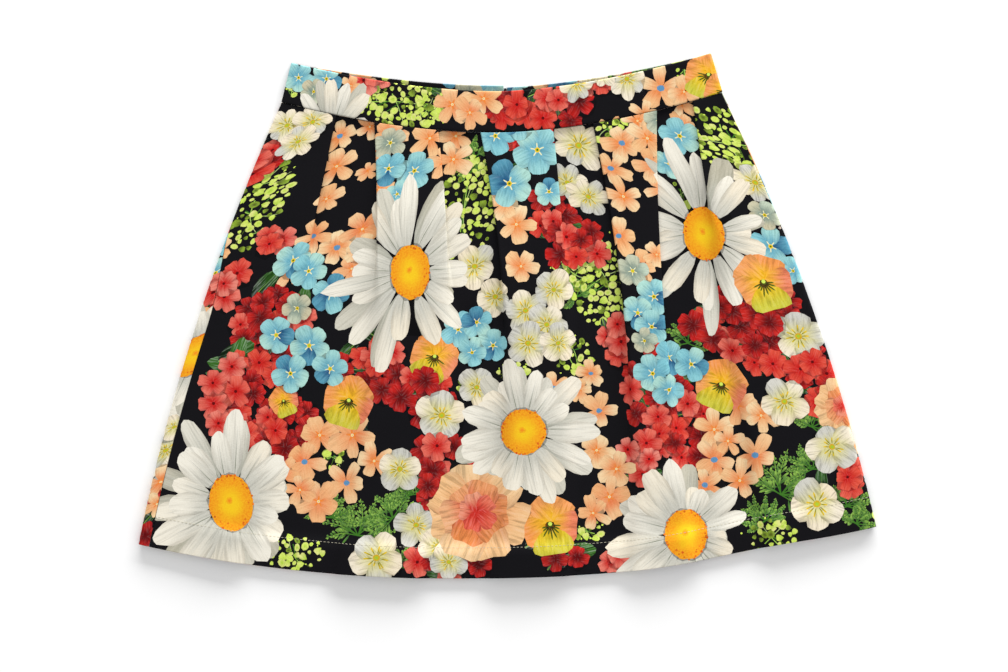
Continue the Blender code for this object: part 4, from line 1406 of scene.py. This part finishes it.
class Looks:
    """A material's nodes, made one after the other."""

    def __init__(self, name, roughness):
        self.material = bpy.data.materials.new(name)
        self.material.use_nodes = True
        self.nodes, self.links = self.material.node_tree.nodes, self.material.node_tree.links
        self.shader = self.nodes["Principled BSDF"]
        self.shader.inputs["Roughness"].default_value = roughness
        self.shader.inputs["Specular IOR Level"].default_value = 0.07

    def add(self, kind, inputs=(), **settings):
        node = self.nodes.new(kind)
        for key, value in settings.items():
            setattr(node, key, value)
        for key, value in dict(inputs).items():
            if isinstance(value, bpy.types.NodeSocket):
                self.links.new(value, node.inputs[key])
            else:
                node.inputs[key].default_value = value
        return node

    def math(self, operation, *values, clamp=False):
        return self.add("ShaderNodeMath", enumerate(values), operation=operation, use_clamp=clamp).outputs[0]

    def attribute(self, name, output="Vector"):
        return self.add("ShaderNodeAttribute", attribute_name=name).outputs[output]

    def parts(self, vector):
        return self.add("ShaderNodeSeparateXYZ", {0: vector}).outputs

    def vector(self, x, y, z):
        return self.add("ShaderNodeCombineXYZ", {0: x, 1: y, 2: z}).outputs[0]

    def ramp(self, value, low, high):
        """A smooth step from 0 at low to 1 at high."""
        inputs = {"Value": value, "From Min": low, "From Max": high}
        return self.add("ShaderNodeMapRange", inputs, interpolation_type="SMOOTHSTEP").outputs["Result"]

    def blend(self, share, one, other, how="MIX"):
        settings = {"data_type": "RGBA", "blend_type": how, "clamp_factor": True}
        return self.add("ShaderNodeMix", {0: share, 6: one, 7: other}, **settings).outputs[2]

    def noise(self, vector, scale, detail=2.0, roughness=0.5):
        inputs = {"Vector": vector, "Scale": scale, "Detail": detail, "Roughness": roughness}
        return self.add("ShaderNodeTexNoise", inputs).outputs[0]

    def cells(self, vector, scale, feature="F1"):
        settings = {"voronoi_dimensions": "2D", "feature": feature}
        return self.add("ShaderNodeTexVoronoi", {"Vector": vector, "Scale": scale}, **settings).outputs

    def bump(self, height, distance, strength, before=None):
        inputs = {"Height": height, "Distance": distance, "Strength": strength}
        if before is not None:
            inputs["Normal"] = before
        return self.add("ShaderNodeBump", inputs).outputs[0]

    def finish(self, colour, normal=None, sheen=0.0):
        self.links.new(colour, self.shader.inputs["Base Color"])
        if normal is not None:
            self.links.new(normal, self.shader.inputs["Normal"])
        self.shader.inputs["Sheen Weight"].default_value = sheen
        self.shader.inputs["Sheen Roughness"].default_value = 0.4
        return self.material


THREAD_APART = 0.55 * MM  # threads of the weave


def weave(looks, flat):
    """The crossing threads of the cloth, from 0 to 1."""
    across, down, _ = looks.parts(flat)
    waves = [looks.math("SINE", looks.math("MULTIPLY", way, TURN / THREAD_APART)) for way in (across, down)]
    return looks.math("MULTIPLY_ADD", looks.math("MULTIPLY", *waves), 0.5, 0.5)


def printed_material():
    """The printed side of the cloth."""
    looks = Looks("floral_print", roughness=0.68)
    work = looks.math
    flat = looks.add("ShaderNodeUVMap", uv_map="flat_cut").outputs[0]
    u, v, seed = looks.parts(looks.attribute("motif"))
    streaks, rim, mottle = looks.parts(looks.attribute("grain"))
    rounded = looks.attribute("rounded", "Fac")
    side = work("ABSOLUTE", v)
    reach = work("SQRT", work("MULTIPLY_ADD", work("MULTIPLY", v, v), rounded, work("MULTIPLY", u, u)))
    far = work("MULTIPLY_ADD", rounded, work("SUBTRACT", reach, side), side)
    # petals change colour from their foot to their tip, unevenly
    offset = work("MULTIPLY", seed, 37.0)
    where = looks.vector(work("ADD", u, offset), work("MULTIPLY", v, 1.5), seed)
    soft = looks.noise(where, 1.6, 2.0)
    uneven = work("MULTIPLY_ADD", work("SUBTRACT", soft, 0.5), 0.5, reach)
    tones = [looks.attribute(name, "Color") for name in ("tone_in", "tone_out")]
    colour = looks.blend(looks.ramp(uneven, 0.1, 0.85), *tones)
    # streaks run along them
    where = looks.vector(work("MULTIPLY", u, 0.8), work("MULTIPLY_ADD", v, 3.0, offset), seed)
    lines = looks.noise(where, 2.2, 3.0, 0.6)
    dark = work("MULTIPLY", looks.ramp(lines, 0.46, 0.68), work("MULTIPLY", streaks, 2.2))
    light = work("MULTIPLY", looks.ramp(lines, 0.52, 0.3), work("MULTIPLY", streaks, 0.5))
    colour = looks.blend(dark, colour, (0.0, 0.0, 0.0, 1))
    colour = looks.blend(light, colour, (1.0, 1.0, 1.0, 1))
    # their rims are darker, or greyer towards the middle where the number is below 0
    edge = looks.ramp(far, 0.55, 1.0)
    colour = looks.blend(work("MULTIPLY", edge, work("MAXIMUM", rim, 0.0)), colour, (0.02, 0.0, 0.02, 1))
    furrow = work("MULTIPLY", edge, work("MAXIMUM", work("MULTIPLY", rim, -1.0), 0.0))
    colour = looks.blend(furrow, colour, (0.2, 0.16, 0.1, 1), "MULTIPLY")
    # grains of pollen on discs
    grains = looks.cells(flat, 620.0)["Distance"]
    dusty = work("MULTIPLY", mottle, looks.ramp(reach, 0.2, 1.05))
    spots = work("MULTIPLY", looks.ramp(grains, 0.18, 0.75), dusty)
    colour = looks.blend(spots, colour, (0.72, 0.13, 0.004, 1))
    # ink that isn't quite even, on threads
    ink = looks.noise(flat, 900.0, 2.0)
    colour = looks.blend(0.16, colour, looks.ramp(ink, 0.2, 0.8), "SOFT_LIGHT")
    threads = weave(looks, flat)
    colour = looks.blend(0.1, colour, threads, "SOFT_LIGHT")
    normal = looks.bump(threads, 0.05 * MM, 0.35)
    normal = looks.bump(looks.noise(flat, 160.0, 2.0), 0.25 * MM, 0.35, normal)
    return looks.finish(colour, normal)


# The tones of the inner side's patches: those at both ends of the range, and those at shares of it
REVERSE_ENDS = ((0.22, 0.22, 0.24), (0.62, 0.60, 0.56))
REVERSE_TONES = (
    (0.3, (0.45, 0.28, 0.24)), (0.45, (0.35, 0.42, 0.44)),
    (0.6, (0.62, 0.47, 0.36)), (0.75, (0.40, 0.44, 0.26)),
)


def reverse_material():
    """The inner side of the cloth, where the print shows through pale and blurred."""
    looks = Looks("print_reverse", roughness=0.75)
    flat = looks.add("ShaderNodeUVMap", uv_map="flat_cut").outputs[0]
    cells = looks.cells(flat, 34.0, "SMOOTH_F1")
    stops = looks.add("ShaderNodeValToRGB", {0: looks.parts(cells["Color"])[0]})
    band = stops.color_ramp
    for end, tone in zip(band.elements, REVERSE_ENDS):
        end.color = (*tone, 1)
    for at, tone in REVERSE_TONES:
        band.elements.new(at).color = (*tone, 1)
    between_cells = looks.ramp(cells["Distance"], 0.3, 0.65)
    colour = looks.blend(between_cells, stops.outputs[0], (0.3, 0.29, 0.3, 1))
    threads = weave(looks, flat)
    colour = looks.blend(0.25, colour, threads, "SOFT_LIGHT")
    return looks.finish(colour, looks.bump(threads, 0.06 * MM, 0.5), sheen=0.05)


def plain_material(name, colour, roughness, metallic=0.0, speckle=0.2, scale=1500.0):
    """Thread, zip tape and metal: a colour with a fine unevenness."""
    looks = Looks(name, roughness)
    looks.shader.inputs["Metallic"].default_value = metallic
    where = looks.add("ShaderNodeTexCoord").outputs["Object"]
    uneven = looks.noise(where, scale, 3.0)
    tone = looks.blend(looks.ramp(uneven, 0.3, 0.7), (*(np.array(colour) * (1 - speckle)), 1), (*colour, 1))
    return looks.finish(tone, looks.bump(uneven, 0.05 * MM, 0.4))


# ---------------------------------------------------------------- thread and zip


def tube(points, normals, radius, sides=5):
    """The points and faces of a closed tube of thread along a line."""
    points, normals = np.array(points), np.array(normals)
    along = np.gradient(points, axis=0)
    along /= np.linalg.norm(along, axis=1, keepdims=True)
    beside = np.cross(along, normals)
    beside /= np.linalg.norm(beside, axis=1, keepdims=True)
    up = np.cross(beside, along)
    thick = radius * np.sqrt(np.clip(1 - np.linspace(-0.97, 0.97, len(points)) ** 6, 0, 1))
    turns = np.arange(sides)[:, None] * TURN / sides
    rings = points[:, None] + thick[:, None, None] * (
        beside[:, None] * np.cos(turns) + up[:, None] * np.sin(turns)
    )
    faces = [list(range(sides))[::-1], [len(points) * sides - sides + k for k in range(sides)]]
    for i in range(len(points) - 1):
        for k in range(sides):
            a, b = i * sides + k, i * sides + (k + 1) % sides
            faces.append([a, b, b + sides, a + sides])
    return rings.reshape(-1, 3), faces


def joined(name, parts, materials):
    """One object from (points, faces, number of the material)."""
    points, faces, slots = [], [], []
    for part_points, part_faces, slot in parts:
        start = len(points)
        points += list(part_points)
        faces += [[k + start for k in face] for face in part_faces]
        slots += [slot] * len(part_faces)
    piece = new_object(name, np.array(points), faces, slots, materials)
    piece.data.set_sharp_from_angle(angle=math.radians(50))
    return piece


STITCH, STITCH_PITCH, THREAD_RADIUS = 2.3 * MM, 3.3 * MM, 0.17 * MM
HEM_STITCH_V = 0.931  # how far down the skirt they are


def hem_stitches(name, grid, material):
    """The line of small stitches that holds the turned-up hem."""
    heights = skirt_heights()
    row = float(np.interp(HEM_STITCH_V, heights, range(len(heights))))
    low, share = int(row), row - int(row)
    line_s = grid.s[low] * (1 - share) + grid.s[low + 1] * share
    line_t = grid.t[low] * (1 - share) + grid.t[low + 1] * share
    parts = []
    for start in np.arange(line_s[0] + 2 * MM, line_s[-1] - 2 * MM - STITCH, STITCH_PITCH):
        s = start + STITCH * np.linspace(0, 1, 5)
        t = np.interp(s, line_s, line_t)
        rows, columns = grid.locate(s, t)
        surface, normal = (grid.sample(side, rows, columns) for side in (grid.outer, grid.outer_normal))
        sink = THREAD_RADIUS * (0.75 - 1.5 * np.abs(np.linspace(-1, 1, 5)) ** 4)
        line = surface + normal * sink[:, None]
        line[:, 2] = np.maximum(line[:, 2], 0.8 * THREAD_RADIUS)  # pressed flat where the cloth lies on it
        parts.append((*tube(line, normal, THREAD_RADIUS), 0))
    return joined(name, parts, [material])


ZIP_PITCH = 1.5 * MM
ZIP_HALF = 1.2 * MM
ZIP_FROM_TOP, SLIDER_FROM_TOP, SLIDER_LENGTH = 2.4 * MM, 4.0 * MM, 8.3 * MM


def block(low, high, taper):
    """A box that is drawn in by taper at its upper and lower side, for rounded looks."""
    (x0, y0, z0), (x1, y1, z1) = low, high
    points = []
    for z, inset in ((z0, taper), (mix(z0, z1, 0.25), 0.0), (mix(z0, z1, 0.6), 0.0), (z1, taper)):
        points += [
            (x0 + inset, y0 + inset, z), (x1 - inset, y0 + inset, z),
            (x1 - inset, y1 - inset, z), (x0 + inset, y1 - inset, z),
        ]
    faces = [[3, 2, 1, 0], [12, 13, 14, 15]]
    for layer in range(0, 12, 4):
        faces += [[layer + k, layer + (k + 1) % 4, layer + 4 + (k + 1) % 4, layer + 4 + k] for k in range(4)]
    return points, faces


def zip_closed(materials):
    """The closed zip: its tape's edge, two rows of teeth that mesh, and the slider at the top."""
    top = band_y(CENTRE_BACK_X, 1.0, BACK_RISE) - ZIP_FROM_TOP
    seam = waist_y(0.0, BACK_RISE)
    end = body_y(CENTRE_BACK_X, ZIP_END_V, BACK_RISE)
    left, right = CENTRE_BACK_X - ZIP_HALF, CENTRE_BACK_X + ZIP_HALF
    parts = [(*block((left, end, 0.25 * MM), (right, top, 0.55 * MM), 0.05 * MM), 0)]
    y, side = end + ZIP_PITCH / 2, 1
    while y < top - ZIP_PITCH:
        height = (1.9 if y > seam else 1.0) * MM
        low = (left if side > 0 else CENTRE_BACK_X - 0.5 * MM, y - 0.5 * MM, 0.5 * MM)
        high = (CENTRE_BACK_X + 0.5 * MM if side > 0 else right, y + 0.5 * MM, height)
        parts.append((*block(low, high, 0.18 * MM), 1))
        y, side = y + ZIP_PITCH / 2, -side
    start = top + ZIP_FROM_TOP - SLIDER_FROM_TOP - SLIDER_LENGTH
    parts.append((*block((left, start, 0.5 * MM), (right, start + SLIDER_LENGTH, 2.35 * MM), 0.35 * MM), 2))
    return joined("zip_closed", parts, materials)


# ---------------------------------------------------------------- building the pieces


# What the panels rest on
RESTS_ON = {
    "cloth_front": ["cloth_back_left", "cloth_back_right"],
    "band_front": ["band_back_left", "band_back_right"],
}
SIDES = ((-1, "left"), (+1, "right"))


def main():
    cloth_looks = [printed_material(), reverse_material()]
    thread = plain_material("thread", rgb(206, 200, 178), 0.7)
    zip_looks = [
        plain_material("zip_tape", rgb(26, 26, 30), 0.85),
        plain_material("zip_teeth", rgb(34, 34, 38), 0.4),
        plain_material("zip_slider", rgb(60, 60, 64), 0.35, metallic=0.9),
    ]
    sheets = []

    def add(node, name, grid, shapes, **settings):
        piece = build_cloth(name, grid, shapes, cloth_looks, **settings)
        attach(piece, "root")
        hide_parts(node)
        sheets.append((piece, grid))

    front = front_grid()
    add("skirt_front", "cloth_front", front, laid_out(FRONT_LAYOUT, front, seed=1))
    grids = {"front": front}
    for (side, word), seed in zip(SIDES, (2, 3)):
        grid = back_grid(side)
        shapes = scattered(grid, seed)
        if word == "left":  # the strip that shows beside the front
            shapes += laid_out(STRIP_LAYOUT, grid, seed=7)
        add(f"skirt_back_{word}", f"cloth_back_{word}", grid, shapes)
        grids[f"back_{word}"] = grid
    band = band_front_grid()
    add("waistband_front", "band_front", band, laid_out(BAND_LAYOUT, band, seed=4))
    for (side, word), seed in zip(SIDES, (5, 6)):
        grid = band_back_grid(side)
        shapes = scattered(grid, seed)
        add(f"waistband_back_{word}", f"band_back_{word}", grid, shapes, printed_inside=True)
    for word, grid in grids.items():
        line = hem_stitches(f"hem_stitches_{word}", grid, thread)
        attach(line, "root")
    zip_piece = zip_closed(zip_looks)
    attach(zip_piece, "root")
    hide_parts("zip")
    for piece, grid in sheets:
        area = min(grid.area(), grid.size()[0] * grid.size()[1])
        grid.size()
        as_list(RESTS_ON.get(piece.name, []))


# ---------------------------------------------------------------- the studio

WORLD_STRENGTH = 0.68
KEY_ENERGY = 920.0
KEY_SIZE = (8.0, 2.4)
KEY_PLACE = Vector((1.7, 6.3, 1.8))
CAMERA_HEIGHT = 3.0
FLOOR_SIZE, FLOOR_DROP = 8.0, 0.2 * MM  # the floor is a little below the skirt
FLOOR_TONES = (0.965, 0.965, 0.965, 1), (0.975, 0.975, 0.975, 1)


def studio():
    """A white floor, a large light from the waist's side, and a camera straight above."""
    scene = bpy.context.scene
    scene.view_settings.view_transform = "Standard"
    looks = Looks("floor_paper", roughness=0.9)
    where = looks.add("ShaderNodeTexCoord").outputs["Object"]
    looks.finish(looks.blend(looks.ramp(looks.noise(where, 3.0), 0.3, 0.7), *FLOOR_TONES))
    bpy.ops.mesh.primitive_plane_add(size=FLOOR_SIZE, location=(0, 0, -FLOOR_DROP))
    floor = bpy.context.object
    floor.name = "studio_floor"
    floor.data.materials.append(looks.material)
    world = bpy.data.worlds.new("studio")
    scene.world = world
    world.use_nodes = True
    sky = world.node_tree.nodes["Background"]
    sky.inputs["Color"].default_value = (1, 1, 1, 1)
    sky.inputs["Strength"].default_value = WORLD_STRENGTH
    light = bpy.data.lights.new("key", "AREA")
    light.shape, light.size, light.size_y = "RECTANGLE", *KEY_SIZE
    light.energy = KEY_ENERGY
    lamp = bpy.data.objects.new("key", light)
    lamp.location = KEY_PLACE
    lamp.rotation_euler = (-lamp.location).to_track_quat("-Z", "Y").to_euler()
    scene.collection.objects.link(lamp)
    camera = bpy.data.cameras.new("camera")
    camera.lens = camera.sensor_width * CAMERA_HEIGHT / (PICTURE_WIDTH * MM_PER_PIXEL * MM)
    eye = bpy.data.objects.new("camera", camera)
    x, y = in_cloth(*PICTURE_CENTRE)
    eye.location = (x - ORIGIN[0], y - ORIGIN[1], CAMERA_HEIGHT)
    eye.rotation_euler = (0, 0, -SKIRT_TURN)
    scene.collection.objects.link(eye)
    scene.camera = eye


main()
studio()
